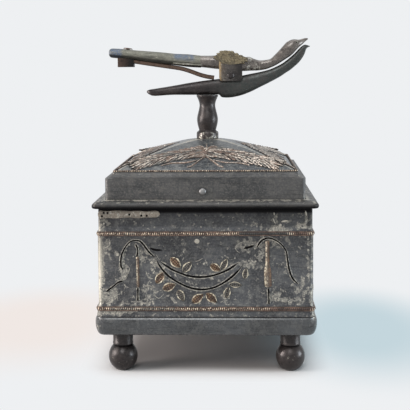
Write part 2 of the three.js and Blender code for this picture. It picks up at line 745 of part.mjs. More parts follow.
function makeLowerJaw() {
  const lugHalf = lugWidth / 2;
  const arm = cast([
    [-39.3, 1.8, 3.0, 1.6], [-37.6, 0.4, 3.8, 2.8], [-34, -0.5, 4.4, 3.6], [-23, 0.1, 6.1, 4.2],
    [-8.5, 0, 8.6, 4.4], [4.5, 0, 10.2, lugHalf], [7.6, 0, 10.6, lugHalf],
    [9.6, -1.7, 10.9, lugHalf], [15, -1.9, 11.4, lugHalf], [21.4, -0.7, 12.4, lugHalf],
    [28, 1.7, 13.7, lugHalf], [34.5, 4.9, 14.9, lugHalf], [41, 8.1, 16.6, 3.4], [47.6, 11.7, 19.6, 3.2],
    [51, 14, 21.9, 3], [54, 15.9, 24.3, 2.9], [57, 18.4, 27, 2.7], [59.3, 20.5, 29.5, 2.4],
    [61.5, 23.4, 31.4, 2.1], [63, 26.1, 32.1, 1.8], [64.1, 29.2, 32, 1.4], [65.2, 30.3, 31.6, 1],
    [66.4, 30.8, 31.2, 0.6],
  ]);
  const lug = alongY(lugRadius, lugWidth, pivotX, 0, pivotRise);
  const tools = [
    alongY(pivotRadius + play, 2 * lugWidth, pivotX, 0, pivotRise),
    upright(tenonRadius + play, -tenonHeight, tenonHeight + gap),
  ];
  piece(bird, 'lower_jaw', cut(join([arm, lug]), tools), agedIron);
}

// Hinge ear beside the lug, an oblong with rounded lower corners in the XZ plane
function earShape(sign) {
  const half = earLength / 2;
  const [low, high] = [pivotRise - earDrop, pivotRise + earRise];
  const outline = new THREE.Shape();
  outline.moveTo(pivotX - half, high);
  outline.lineTo(pivotX - half, low + earCorner);
  outline.absarc(pivotX - half + earCorner, low + earCorner, earCorner, Math.PI, 1.5 * Math.PI);
  outline.absarc(pivotX + half - earCorner, low + earCorner, earCorner, 1.5 * Math.PI, 2 * Math.PI);
  outline.lineTo(pivotX + half, high);
  const face = sign * (lugWidth / 2 + gap + (sign > 0 ? earThickness : 0));
  return new THREE.ExtrudeGeometry(outline, { depth: earThickness, bevelEnabled: false, curveSegments: 4 })
    .rotateX(quarterTurn).translate(0, face, 0);
}

function makeBirdBody() {
  const body = cast([
    [tailRoot, 17.9, 25.6, 4.4], [3, 17, 25.6, 4.9], [6, 16.6, 25.9, bodyHalfWidth],
    [9.7, 16.3, 27.7, bodyHalfWidth], [12.5, 16, 28.2, bodyHalfWidth], [16.2, 15.8, 27.2, bodyHalfWidth],
    [19.4, 15.4, 25.5, 4.9], [23, 15.1, 24.5, 4.7], [27.4, 15.3, 24.6, 4.4], [30, 15.4, 23.5, 4.1],
    [34, 15.6, 22.3, 3.8], [38.4, 16.4, 22.6, 3.6], [41.2, 17.4, 23.4, 3.6], [44, 18.6, 26, 3.8],
    [46.7, 20.1, 28.8, 4.1], [49.1, 21.6, 31.5, 4.4], [51.3, 23, 33.8, 4.6], [54.1, 24.9, 35.3, 4.7],
    [56.4, 27.1, 35.7, 4.4], [59.2, 30.2, 35.4, 3.4], [61.4, 32.1, 35.9, 2.2], [63.3, 33.9, 36.3, 1.4],
    [65.1, 35.3, 36.2, 0.6],
  ]);
  const ears = sides.map(([, sign]) => earShape(sign));
  const pinHole = alongY(pivotRadius + play, 4 * lugWidth, pivotX, 0, pivotRise);
  const socketHeight = tailTenonHeight + 2 * play;
  const socket = block(2 * (tailTenonLength + play), tailTenonWidth + 2 * play, socketHeight,
    tailRoot, 0, tailTenonRise - socketHeight / 2);
  piece(jaw, 'bird_body', cut(join([body, ...ears]), [pinHole, socket]), brass);
}

function makePivotPin() {
  const halfSpan = lugWidth / 2 + gap + earThickness + play;
  const pin = turned([
    [0, -halfSpan - pivotHeadHeight], [0.7 * pivotHeadRadius, -halfSpan - pivotHeadHeight],
    [pivotHeadRadius, -halfSpan - 0.3 * pivotHeadHeight], [pivotHeadRadius, -halfSpan],
    [pivotRadius, -halfSpan], [pivotRadius, halfSpan], [pivotHeadRadius, halfSpan],
    [pivotHeadRadius, halfSpan + 0.3 * pivotHeadHeight],
    [0.7 * pivotHeadRadius, halfSpan + pivotHeadHeight], [0, halfSpan + pivotHeadHeight],
  ], finePin).rotateX(quarterTurn);
  piece(bird, 'pivot_pin', pin, steel).position.set(pivotX, 0, pivotRise);
}

// Moves a shape made upright round the spring's root to its place there, along the tail's slope
function atRoot(geometry) {
  return geometry.rotateY(tailTilt).translate(springRootX, 0, springRootRise);
}

function tailRivetHole() {
  return atRoot(upright(tailRivetRadius + play, -2 * tailRivetSeat, 2 * tailRivetSeat));
}

function makeTail() {
  const plate = cast([
    [-63.2, 26.2, 28.8, 4.4], [-62.2, 25.1, 29.5, 5.4], [-60.7, 24.8, 30.2, 5.8], [-54, 24, 30.2, 5.8],
    [-47, 23.2, 29.4, 5.5], [-38.5, 21.9, 28.7, 5.2], [-29.3, 20.7, 27.9, 4.9], [-20, 19.4, 26.9, 4.6],
    [-12, 18.1, 26.5, 4.4], [tailRoot, 17.6, 25.6, 4.2],
  ]);
  const tenon = block(2 * tailTenonLength, tailTenonWidth, tailTenonHeight, tailRoot, 0,
    tailTenonRise - tailTenonHeight / 2);
  piece(jaw, 'tail_plate', cut(join([plate, tenon]), [tailRivetHole()]), agedIron);
  const blockTop = -springThickness / 2 - gap;
  const seat = atRoot(block(blockLength, blockWidth, blockHeight, 0, 0, blockTop - blockHeight));
  piece(jaw, 'spring_block', cut(seat, [tailRivetHole()]), springSteel);
  const shank = tailRivetSeat - blockTop + blockHeight + play;
  const rivet = headed(tailRivetHeadRadius, tailRivetHeadHeight, tailRivetRadius, shank, finePin)
    .translate(0, 0, tailRivetSeat);
  piece(jaw, 'tail_rivet', atRoot(rivet), springSteel);
}

// Folded wing along the bird's side
function makeWings() {
  const outline = [
    [4, 24.6], [6.5, 26], [9.7, 28.1], [12.5, 28.6], [16.2, 27.6], [19.4, 26], [23, 24.9], [26.5, 23.2],
    [23.5, 20.8], [19, 19.9], [14.8, 19.6], [10.5, 20.4], [7, 22.2],
  ].map(([x, z]) => new THREE.Vector2(x, z).multiplyScalar(birdUnit));
  const smooth = new THREE.SplineCurve([...outline, outline[0]]).getPoints(wingPoints);
  smooth.pop();
  const options = { depth: wingThickness, bevelEnabled: false };
  sides.forEach(([, sign]) => {
    const face = sign * (bodyHalfWidth + gap + (sign > 0 ? wingThickness : 0));
    const wing = new THREE.ExtrudeGeometry(new THREE.Shape(smooth), options)
      .rotateX(quarterTurn).translate(0, face, 0);
    piece(jaw, sign < 0 ? 'wing_near' : 'wing_far', clean(wing), brass);
  });
}

// Leaf spring from the block under the tail to the top of the lower jaw
function makeSpring() {
  const blade = [
    [-38.5, 20.3], [-29.3, 19.1], [-20, 17.8], [-15.5, 16.9], [-10.7, 15.4], [-5.1, 13.1], [0, 11.8],
    [4.5, 11.9],
  ].map(([x, z]) => new THREE.Vector2(x, z).multiplyScalar(birdUnit));
  const root = [-blockLength / 2, 0, blockLength / 2].map((along) => (
    new THREE.Vector2(along, 0).rotateAround(new THREE.Vector2(), -tailTilt)
      .add(new THREE.Vector2(springRootX, springRootRise))));
  const path = [...root, ...blade];
  const loops = path.map((point, i) => {
    const before = path[Math.max(i - 1, 0)];
    const after = path[Math.min(i + 1, path.length - 1)];
    const across = after.clone().sub(before).normalize().rotateAround(new THREE.Vector2(), quarterTurn);
    const top = point.clone().addScaledVector(across, springThickness / 2);
    const bottom = point.clone().addScaledVector(across, -springThickness / 2);
    const half = springWidth / 2;
    return [
      [top.x, half, top.y], [top.x, -half, top.y],
      [bottom.x, -half, bottom.y], [bottom.x, half, bottom.y],
    ];
  });
  piece(jaw, 'leaf_spring', cut(skin(loops, false), [tailRivetHole()]), springSteel);
}

makeWalls();
makeBase();
makeFeet();
makeLining();
makeHinges();
makeLidRim();
makeLidBand();
makeDome();
makeKnob();
makePost();
makeLowerJaw();
makeBirdBody();
makePivotPin();
makeTail();
makeWings();
makeSpring();

export default object;
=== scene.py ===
import math
import random

import bmesh
import bpy
from mathutils import Matrix, Vector


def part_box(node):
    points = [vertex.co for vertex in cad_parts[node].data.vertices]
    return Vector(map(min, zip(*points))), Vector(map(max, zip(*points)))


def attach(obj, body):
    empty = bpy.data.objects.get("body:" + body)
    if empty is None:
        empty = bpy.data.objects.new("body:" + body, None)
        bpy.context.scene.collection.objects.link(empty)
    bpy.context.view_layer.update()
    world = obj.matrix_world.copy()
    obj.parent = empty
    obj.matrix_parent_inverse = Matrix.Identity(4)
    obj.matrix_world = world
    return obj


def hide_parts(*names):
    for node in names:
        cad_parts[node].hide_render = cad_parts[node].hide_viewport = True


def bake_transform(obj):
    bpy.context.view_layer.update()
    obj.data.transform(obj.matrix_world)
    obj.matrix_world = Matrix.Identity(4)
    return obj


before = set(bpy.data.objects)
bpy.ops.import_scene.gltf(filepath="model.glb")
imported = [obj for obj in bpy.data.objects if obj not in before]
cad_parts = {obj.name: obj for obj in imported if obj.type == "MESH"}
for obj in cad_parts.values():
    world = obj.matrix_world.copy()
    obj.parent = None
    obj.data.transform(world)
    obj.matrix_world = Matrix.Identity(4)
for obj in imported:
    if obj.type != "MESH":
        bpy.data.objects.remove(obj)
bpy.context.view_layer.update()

# Sizes are in millimetres, as in the CAD, and become metres where a mesh is made.
# +X is to the right of the front, the front faces -Y, +Z is up.
METRE = 0.001


def node_box(node):
    """Lowest and highest corner of a CAD node in millimetres."""
    low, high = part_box(node)
    return low / METRE, high / METRE


def lerp(a, b, share):
    return a + (b - a) * share


def smooth_step(value, low, high):
    share = min(max((value - low) / (high - low), 0), 1)
    return share * share * (3 - 2 * share)


def circle(sides):
    """Cosine and sine of angles spread evenly round a circle."""
    angles = [2 * math.pi * i / sides for i in range(sides)]
    return [(math.cos(angle), math.sin(angle)) for angle in angles]


def direction(path, i):
    """Unit vector along a path of (x, y) at its point i."""
    before, after = path[max(i - 1, 0)], path[min(i + 1, len(path) - 1)]
    return Vector((after[0] - before[0], after[1] - before[1])).normalized()


# Corners of the CAD nodes that the look is built to
walls_low, walls_high = node_box("body_walls")
base_low, base_high = node_box("base_moulding")
rim_low, rim_high = node_box("lid_rim")
band_low, band_high = node_box("lid_band")
dome_low, dome_high = node_box("lid_dome")
upper_rope_low, upper_rope_high = node_box("upper_rope_line")
lower_rope_low, lower_rope_high = node_box("lower_rope_line")
TENON = 4
post_top = node_box("post")[1].z - TENON

# Sizes that the frame doesn't give, and others worked out from it
FLARE_PROUD = 1.1
FLARE_FOOT = 1.6
FLARE_HEIGHT = 9
WALL_CORNER = 2.5
WALL = 2
BAND_INSET = 0.5
ROPE_PROUD = 0.9
INNER_CORNER = 1
HALF = upper_rope_high.x - ROPE_PROUD
BASE_PROUD = base_high.x - HALF
BASE_UNDER_PROUD = -0.4
BASE_WIDEST_RISE = 7.1
BASE_CORNER = 8
BASE_INNER = 20.25
LEDGE = 2
RIM_PROUD = rim_high.x - HALF
RIM_CORNER = 4
BAND_HALF = band_high.x
LID_WALL = 2
COVE_TOP_HALF = BAND_HALF - 4.15
COVE_HEIGHT = 3.4
SHOULDER_WALL = 1.5
DOME_FOOT_HALF = 54
DOME_TOP_HALF = 8
DOME_POWER = 1.2
DOME_BULGE = 0.87
DOME_CORNER = 1.2
DOME_WALL = 1.5
DOME_HEIGHT = dome_high.z - dome_low.z

SIDES = ("front", "right", "back", "left")


class Form:
    """Points in millimetres, each with its wear (which also paints highlights), grime (which also paints
    shade) and tint from 0 to 1, and faces between them.
    """

    def __init__(self):
        self.points = []
        self.marks = []
        self.faces = []

    def skin(self, rings, closed=False):
        """Skin over rings of equally many points: a ring of rings, or a run capped at both ends."""
        first, count = len(self.points), len(rings[0])
        for point in (point for ring in rings for point in ring):
            self.points.append(Vector(point[:3]))
            self.marks.append(tuple(point[3:]) or (0, 0, 0))
        for i in range(len(rings) if closed else len(rings) - 1):
            here, there = first + i * count, first + (i + 1) % len(rings) * count
            for j in range(count):
                k = (j + 1) % count
                self.faces.append((here + j, here + k, there + k, there + j))
        if not closed:
            self.faces.append(tuple(range(first, first + count)))
            last = first + (len(rings) - 1) * count
            self.faces.append(tuple(range(last, last + count)))
        return self

    def mapped(self, surface):
        """The same form with its points put through surface(x, y, rise)."""
        self.points = [Vector(surface(*point)) for point in self.points]
        return self

    def turned(self, quarter_turns):
        turn = Matrix.Rotation(quarter_turns * math.pi / 2, 3, "Z")
        self.points = [turn @ point for point in self.points]
        return self


def linked(name, data):
    """New object of the scene that holds a mesh, a lamp or a camera."""
    made = bpy.data.objects.new(name, data)
    bpy.context.scene.collection.objects.link(made)
    return made


def piece(name, body, form, material, replaces=(), sharp=38):
    """Mesh object from a form, with its marks as attributes, that rides on a body."""
    mesh = bpy.data.meshes.new(name)
    mesh.from_pydata([point * METRE for point in form.points], [], form.faces)
    for index, label in enumerate(("wear", "grime", "tint")):
        layer = mesh.attributes.new(label, "FLOAT", "POINT")
        layer.data.foreach_set("value", [marks[index] for marks in form.marks])
    edit = bmesh.new()
    edit.from_mesh(mesh)
    bmesh.ops.recalc_face_normals(edit, faces=edit.faces)
    edit.to_mesh(mesh)
    edit.free()
    mesh.polygons.foreach_set("use_smooth", [True] * len(mesh.polygons))
    mesh.set_sharp_from_angle(angle=math.radians(sharp))
    mesh.materials.append(material)
    made = linked(name, mesh)
    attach(made, body)
    if replaces:
        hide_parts(*replaces)
    return made


def smooth(points, steps):
    """Points on a Catmull-Rom curve through the given points, of any number of values each."""
    ends = [points[0], *points, points[-1]]
    curve = []
    for a, b, c, d in zip(ends, ends[1:], ends[2:], ends[3:]):
        for step in range(steps):
            t = step / steps
            curve.append(tuple(
                0.5 * (2 * q + (r - p) * t + (2 * p - 5 * q + 4 * r - s) * t * t
                       + (3 * q - p - 3 * r + s) * t ** 3)
                for p, q, r, s in zip(a, b, c, d)))
    curve.append(tuple(points[-1]))
    return curve


def plan_loop(half, z, radius, marks=(0, 0, 0), corner_wear=0.5, steps=8):
    """Square with rounded corners at height z, more worn at its corners than along its sides; on the dome's
    hips this wear is also a painted highlight.
    """
    wear, grime, tint = marks
    loop = []
    for quadrant, (sign_x, sign_y) in enumerate([(1, 1), (-1, 1), (-1, -1), (1, -1)]):
        for step in range(steps + 1):
            angle = (quadrant + step / steps) * math.pi / 2
            bend = math.sin(math.pi * step / steps)
            x = sign_x * (half - radius) + radius * math.cos(angle)
            y = sign_y * (half - radius) + radius * math.sin(angle)
            loop.append((x, y, z, min(1, wear + corner_wear * bend), grime, tint))
    return loop


def frame_form(profile):
    """Frame round the box from a closed profile of (half, z, corner radius, marks)."""
    return Form().skin([plan_loop(*station) for station in profile], closed=True)


def lathe(profile, x=0, y=0, sides=48):
    """Body of revolution about a vertical axis from (radius, z, wear, grime that also paints shade) from end
    to end.
    """
    return Form().skin([[(x + radius * cosine, y + radius * sine, z, wear, grime, 0)
                         for cosine, sine in circle(sides)] for radius, z, wear, grime in profile])


class Nodes:
    """The nodes of one tree, made and linked by short calls."""

    def __init__(self, tree):
        self.tree = tree

    def node(self, kind, inputs, output=0, **settings):
        made = self.tree.nodes.new(kind)
        for key, value in settings.items():
            setattr(made, key, value)
        for socket, value in inputs.items():
            self.feed(made.inputs[socket], value)
        return made.outputs[output]

    def feed(self, socket, value):
        if isinstance(value, bpy.types.NodeSocket):
            self.tree.links.new(value, socket)
        else:
            socket.default_value = value

    def math(self, operation, a, b=0.0, clamp=False):
        return self.node("ShaderNodeMath", {0: a, 1: b}, operation=operation, use_clamp=clamp)

    def watched(self):
        """1 for rays from the camera, from glossy surfaces and through glass, 0 for those that light."""
        rays = [self.node("ShaderNodeLightPath", {}, kind)
                for kind in ("Is Camera Ray", "Is Glossy Ray", "Is Transmission Ray")]
        return self.math("MAXIMUM", rays[0], self.math("MAXIMUM", rays[1], rays[2]))


class Shader(Nodes):
    """A new material and its nodes."""

    def __init__(self, name):
        self.material = bpy.data.materials.new(name)
        self.material.use_nodes = True
        super().__init__(self.material.node_tree)
        self.surface = self.tree.nodes["Principled BSDF"]
        self.place = self.node("ShaderNodeTexCoord", {}, "Object")

    def vector(self, operation, a, b=(0, 0, 0), output=0):
        return self.node("ShaderNodeVectorMath", {0: a, 1: b}, output, operation=operation)

    def mark(self, name):
        return self.node("ShaderNodeAttribute", {}, "Fac", attribute_name=name)

    def noise(self, size, detail=5, roughness=0.6, stretch=(1, 1, 1)):
        """Noise from 0 to 1 with grains about size millimetres across."""
        place = self.vector("MULTIPLY", self.place, stretch)
        return self.node("ShaderNodeTexNoise", {
            "Vector": place, "Scale": 1 / (size * METRE), "Detail": detail, "Roughness": roughness})

    def range(self, value, low, high, to_low=0.0, to_high=1.0):
        return self.node("ShaderNodeMapRange", {
            "Value": value, "From Min": low, "From Max": high, "To Min": to_low, "To Max": to_high},
            interpolation_type="SMOOTHSTEP")

    # Share of near black from the grime mark, which holds real grime and also painted shade
    def dirt_and_shade(self):
        return self.range(self.mark("grime"), 0.15, 0.8)

    def mix(self, share, a, b):
        made = self.tree.nodes.new("ShaderNodeMix")
        made.data_type = "RGBA"
        for socket, value in (("Factor", share), ("A", a), ("B", b)):
            self.feed(made.inputs[socket], value)
        return made.outputs["Result"]

    def cover(self, under, over, field, low, high, share_low=0.0, share_high=1.0):
        """One tone over another, by a share that changes while the field rises from low to high."""
        return self.mix(self.range(field, low, high, share_low, share_high), under, over)

    def spots(self, places):
        """The strength inside ellipsoids of (centre, radii, strength) in millimetres, 0 outside."""
        total = 0.0
        for centre, radii, strength in places:
            offset = self.vector("SUBTRACT", self.place, [value * METRE for value in centre])
            scaled = self.vector("DIVIDE", offset, [value * METRE for value in radii])
            reach = self.vector("LENGTH", scaled, output="Value")
            total = self.math("MAXIMUM", total, self.range(reach, 0.4, 1.5, strength, 0.0))
        return total

    def bump(self, height, depth):
        normal = self.node("ShaderNodeBump", {
            "Height": height, "Distance": depth * METRE, "Strength": 1.0})
        self.feed(self.surface.inputs["Normal"], normal)

    def finish(self, tone, roughness, metallic, specular=0.5):
        for socket, value in (("Base Color", tone), ("Roughness", roughness), ("Metallic", metallic),
                              ("Specular IOR Level", specular)):
            self.feed(self.surface.inputs[socket], value)
        return self.material


def colour(red, green, blue):
    """Linear colour from 0 to 255 values as a screen shows them."""
    def linear(value):
        share = value / 255
        return share / 12.92 if share <= 0.04045 else ((share + 0.055) / 1.055) ** 2.4
    return (linear(red), linear(green), linear(blue), 1)


# Near black of soot in specks and scratches, and of painted shade where the grime mark stands for shade
SOOT_AND_SHADE = colour(12, 11, 12)
BARE = colour(184, 180, 167)
DULL_BARE = colour(106, 105, 101)


def patina(name, dark, middle, pale, accent=None, spots=(), loss=0.0, roughness=0.42, metallic=0.35,
           grain=0.2, polish=0.0):
    """Dark skin of old metal, clouded and scratched, flaked off to bare metal where it is worn."""
    dark, middle, pale = colour(*dark), colour(*middle), colour(*pale)
    shader = Shader(name)
    clouds = shader.noise(24, 4, 0.6)
    mottle = shader.noise(4.6, 8, 0.72)
    specks = shader.noise(1.1, 4, 0.65)
    flakes = shader.noise(2.4, 4, 0.6)
    scratches = shader.noise(2, 4, 0.7, (0.15, 0.15, 1.6))
    skin = shader.cover(dark, middle, clouds, 0.38, 0.62)
    if accent:
        skin = shader.mix(shader.mark("tint"), skin, colour(*accent))
    skin = shader.cover(skin, pale, mottle, 0.46, 0.68, 0.0, 0.6)
    skin = shader.cover(skin, pale, specks, 0.5, 0.66, 0.0, 0.6)
    skin = shader.cover(skin, SOOT_AND_SHADE, specks, 0.32, 0.44, 0.4, 0.0)
    skin = shader.cover(skin, SOOT_AND_SHADE, scratches, 0.52, 0.68, 0.0, 0.45)
    # The wear mark and the wear spots are worn metal, and on the rim's top, the dome's hips and the box's
    # left front corner also a painted highlight
    worn_and_lit = shader.mark("wear")
    if spots:
        worn_and_lit = shader.math("MAXIMUM", worn_and_lit, shader.spots(spots))
    level = shader.math("ADD", flakes, shader.math("MULTIPLY", worn_and_lit, 0.3))
    level = shader.math("ADD", level, loss)
    inside = shader.range(level, 0.65, 0.68)
    lip = shader.math("SUBTRACT", shader.range(level, 0.615, 0.64), inside, True)
    bare = shader.cover(DULL_BARE, BARE, specks, 0.42, 0.68, 0.0, 0.8)
    bare = shader.cover(bare, BARE, worn_and_lit, 0.65, 1.0, 0.0, 0.7)
    skin = shader.mix(inside, skin, bare)
    skin = shader.mix(shader.math("MULTIPLY", lip, 0.3), skin, BARE)
    # High grime turns the skin near black, without metal and with little reflection: real grime in joints,
    # and painted shade under the rim, on undersides and in grooves
    dirt_and_shade = shader.dirt_and_shade()
    skin = shader.mix(dirt_and_shade, skin, SOOT_AND_SHADE)
    rough = shader.range(mottle, 0.3, 0.7, roughness - 0.1, roughness + 0.2)
    pits = shader.math("MULTIPLY", inside, 0.4)
    height = shader.math("SUBTRACT", shader.math("MULTIPLY", mottle, 0.7), pits)
    shader.bump(shader.math("ADD", height, shader.math("MULTIPLY", specks, 0.4)), grain)
    shader.feed(shader.surface.inputs["Coat Weight"], polish)
    shader.feed(shader.surface.inputs["Coat Roughness"], 0.12)
    return shader.finish(skin, rough, shader.range(dirt_and_shade, 0, 1, metallic, 0.0),
                         shader.range(dirt_and_shade, 0, 1, 0.5, 0.05))


def tinted_metal(name, tint, deep, pale):
    """Copper or gilt relief: tint in its hollows, pale where rubbed, near black in its joints."""
    shader = Shader(name)
    mottle = shader.noise(4, 6, 0.65)
    specks = shader.noise(1.1, 5, 0.7)
    body = shader.cover(colour(*deep), colour(*tint), mottle, 0.42, 0.6)
    grey = shader.cover(colour(64, 65, 66), colour(112, 111, 105), specks, 0.4, 0.6)
    body = shader.cover(body, grey, shader.mark("tint"), 0.0, 1.0, 0.9, 0.0)
    body = shader.cover(body, SOOT_AND_SHADE, specks, 0.53, 0.66, 0.0, 0.6)
    rubbed = shader.math("MULTIPLY", shader.mark("wear"), shader.range(specks, 0.35, 0.6, 1.1, 0.4))
    body = shader.cover(body, colour(*pale), rubbed, 0.3, 0.9)
    body = shader.mix(shader.dirt_and_shade(), body, SOOT_AND_SHADE)
    shader.bump(specks, 0.12)
    return shader.finish(body, 0.42, 0.4)


def plain_steel(name, tone, rust):
    """Brushed steel with rust in patches."""
    shader = Shader(name)
    mottle = shader.noise(2.5, 6, 0.65)
    streak = shader.noise(3, 4, 0.6, (1, 1, 6))
    body = shader.cover(colour(*tone), colour(*rust), mottle, 0.46, 0.66)
    body = shader.mix(shader.dirt_and_shade(), body, SOOT_AND_SHADE)
    shader.bump(streak, 0.06)
    return shader.finish(body, shader.range(mottle, 0.3, 0.7, 0.35, 0.6), 0.7)


def cloth(name, tone, shadow, pile_tone):
    """Short-piled cloth glued on card."""
    shader = Shader(name)
    pile = shader.noise(0.5, 3, 0.6)
    rub = shader.noise(14, 4, 0.5)
    body = shader.cover(colour(*tone), colour(*shadow), rub, 0.35, 0.65)
    body = shader.cover(body, colour(*pile_tone), pile, 0.4, 0.6, 0.0, 0.35)
    shader.bump(pile, 0.25)
    shader.feed(shader.surface.inputs["Sheen Weight"], 0.35)
    return shader.finish(body, 0.92, 0.0, 0.2)


# Places on the front where the dark skin is worn: x and z of the middle, half width and height, strength
FRONT_WEAR = [
    (-59, 78, 3.2, 5, 0.65), (-48.6, 66, 2.6, 10, 0.5), (-47.4, 61, 2.4, 4, 0.7), (-37, 73, 3.4, 5, 0.5),
    (-57, 48, 5.5, 6, 0.75), (-33, 52, 5, 4, 0.5), (-34, 46, 3.4, 4, 0.55), (-43, 44, 9, 2, 0.5),
    (29.5, 91, 5, 4.5, 0.4), (43, 88.2, 6.5, 2.4, 0.95), (41, 93, 1.6, 5, 0.6), (56.7, 89.7, 3.6, 2, 1),
    (59.4, 95, 0.9, 5, 0.8), (47, 92.6, 3, 1, 0.8), (26, 79, 9, 4.6, 0.6), (43, 80.5, 7, 4, 0.55),
    (33, 73, 3, 4, 0.5), (25.5, 67, 5, 3, 0.5), (57, 53, 5, 6, 0.5), (40, 48, 4, 7, 0.5),
    (50, 45.5, 10, 2, 0.65), (-26, 60, 4.5, 5, 0.45), (12, 47, 5, 4, 0.35), (-31, 67, 3, 6, 0.4),
    (-54, 39.5, 13, 3, 0.85), (60.8, 65, 0.9, 20, 0.45), (-60, 92, 3, 5, 0.45), (-52, 73, 2, 2.6, 0.6),
]
# Pale strips down the front corners: worn metal, and on the left corner also a painted highlight of the
# light from the left
EDGE_WEAR_AND_HIGHLIGHT = [((-64, -64.2, 68), (4.2, 4.2, 40), 1.0), ((64.4, -64.4, 62), (1.7, 1.7, 32), 0.6)]
WALL_WEAR_AND_HIGHLIGHT = [((x, -HALF, z), (half_x, 5, half_z), 0.9 * strength)
             for x, z, half_x, half_z, strength in FRONT_WEAR] + EDGE_WEAR_AND_HIGHLIGHT

SLATE = patina("slate_metal", (53, 54, 57), (74, 76, 79), (110, 110, 107), spots=WALL_WEAR_AND_HIGHLIGHT, loss=0.005)
SLATE_LID = patina("lid_metal", (54, 55, 56), (72, 72, 72), (98, 96, 92), loss=-0.1)
DOME_METAL = patina("dome_metal", (56, 62, 68), (82, 87, 91), (144, 144, 140), roughness=0.32, loss=-0.03)
SLATE_BASE = patina("base_metal", (60, 61, 62), (74, 76, 78), (90, 90, 88),
                    loss=-0.12, roughness=0.2, metallic=0.5, grain=0.01, polish=0.35)
IRON = patina("dark_iron", (32, 28, 28), (46, 40, 39), (60, 54, 52), accent=(52, 56, 54),
              loss=-0.1, roughness=0.31, metallic=0.45, grain=0.03)
# The gold accent, where the tint mark is up, is a painted highlight on the ears' left edges
BIRD_METAL = patina("bird_metal", (66, 60, 56), (92, 85, 80), (118, 112, 105), accent=(176, 146, 96),
                    loss=-0.05, roughness=0.25, metallic=0.5, grain=0.03, polish=0.5)
# The blue accent is a painted reflection on the tail's rounded tip, and a blue patch high on each flank
TAIL_IRON = patina("tail_iron", (84, 84, 76), (106, 106, 96), (122, 120, 110), accent=(74, 87, 105),
                   loss=-0.06, grain=0.15)
FLAKED = patina("flaked_metal", (118, 116, 110), (140, 137, 128), (176, 171, 158), metallic=0.2)
RESIDUE = patina("old_residue", (92, 86, 78), (112, 105, 95), (136, 130, 119),
                 loss=-0.1, roughness=0.7, metallic=0.0)
ORNAMENT = tinted_metal("ornament_metal", (124, 98, 76), (76, 60, 50), (206, 197, 174))
GARLAND = tinted_metal("garland_metal", (120, 100, 88), (78, 68, 62), (222, 211, 198))
ROPE = tinted_metal("rope_metal", (114, 92, 80), (74, 60, 53), (226, 209, 184))
GILT = tinted_metal("gilt_metal", (112, 102, 80), (84, 77, 62), (150, 141, 116))
STEEL = plain_steel("bright_steel", (124, 124, 124), (78, 75, 72))
SPRING = plain_steel("spring_steel", (84, 68, 58), (58, 47, 41))
VELVET = cloth("lining_cloth", (84, 30, 36), (58, 20, 26), (120, 60, 62))

CAD_FINISHES = {
    "floor_plate": SLATE_BASE, "post_washer": STEEL, "post_nut": STEEL, "pivot_pin": IRON,
    "knob_washer": STEEL, "lining_sleeve": VELVET, "lining_floor": VELVET, "tail_rivet": SPRING,
    "spring_block": SPRING,
}


def finish_cad_nodes():
    """Gives every CAD node its material, hidden ones too."""
    for name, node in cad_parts.items():
        metal = CAD_FINISHES.get(name)
        if metal is None:
            metal = STEEL if name.split("_")[0] in ("hinge", "foot", "lid", "body") else SLATE
        node.data.materials.clear()
        node.data.materials.append(metal)


# Body of the box
def make_walls():
    foot, top = walls_low.z, walls_high.z
    rope_top = upper_rope_high.z
    seat_low, seat_high = lower_rope_low.z, lower_rope_high.z
    seat = FLARE_PROUD * (1 - (seat_low - foot) / FLARE_HEIGHT)
    stations = [
        (FLARE_PROUD, foot, 0, 0.8), (FLARE_PROUD, foot + 0.4, 0, 0.5), (FLARE_PROUD, foot + 0.7, 0.3, 0),
        (FLARE_PROUD, foot + FLARE_FOOT, 0.1, 0),
        (seat, seat_low, 0, 0.5), (seat, seat_high, 0, 0.4),
        (0.2, seat_high + 1.2, 0, 0), (0, foot + FLARE_HEIGHT, 0, 0),
        (0, rope_top, 0, 0.5), (-BAND_INSET, rope_top + BAND_INSET, 0, 0),
        # Grime rising up the band to 1 at the walls' top is painted shade under the lid's rim
        (-BAND_INSET, rope_top + 3, 0, 0.42), (-BAND_INSET, top - 3, 0, 0.54),
        (-BAND_INSET, top - 0.8, 0, 0.9), (-BAND_INSET, top, 0, 1),
        (-WALL, top, 0.3, 0), (-WALL, foot, 0, 0),
    ]
    profile = [(HALF + out, z, WALL_CORNER + out if out > -WALL else INNER_CORNER, (wear, grime, 0))
               for out, z, wear, grime in stations]
    piece("walls", "box", frame_form(profile), SLATE, ["body_walls"])


# Stretches of the front where a rope differs: from x, to x, wear, grime and tint
UPPER_ROPE_MARKS = [(-48, -41, 1, 0, 0.3), (20, 48, 0.3, 0.5, 0), (48, 51.5, 1, 0, 0), (52, 60, 0.3, 0, 1)]
LOWER_ROPE_MARKS = [(-57, -18, 0.9, 0.3, 0.2), (38, 61, 0.1, 0.2, 1)]
PLAIN_ROPE_MARKS = (1, 0, 1)


def rope_marks(spot, stretches):
    """Wear, grime and tint of the strand at a spot."""
    if spot.y < 0 and abs(spot.x) < -spot.y:
        for start, end, *marks in stretches:
            if start < spot.x < end:
                return marks
    return PLAIN_ROPE_MARKS


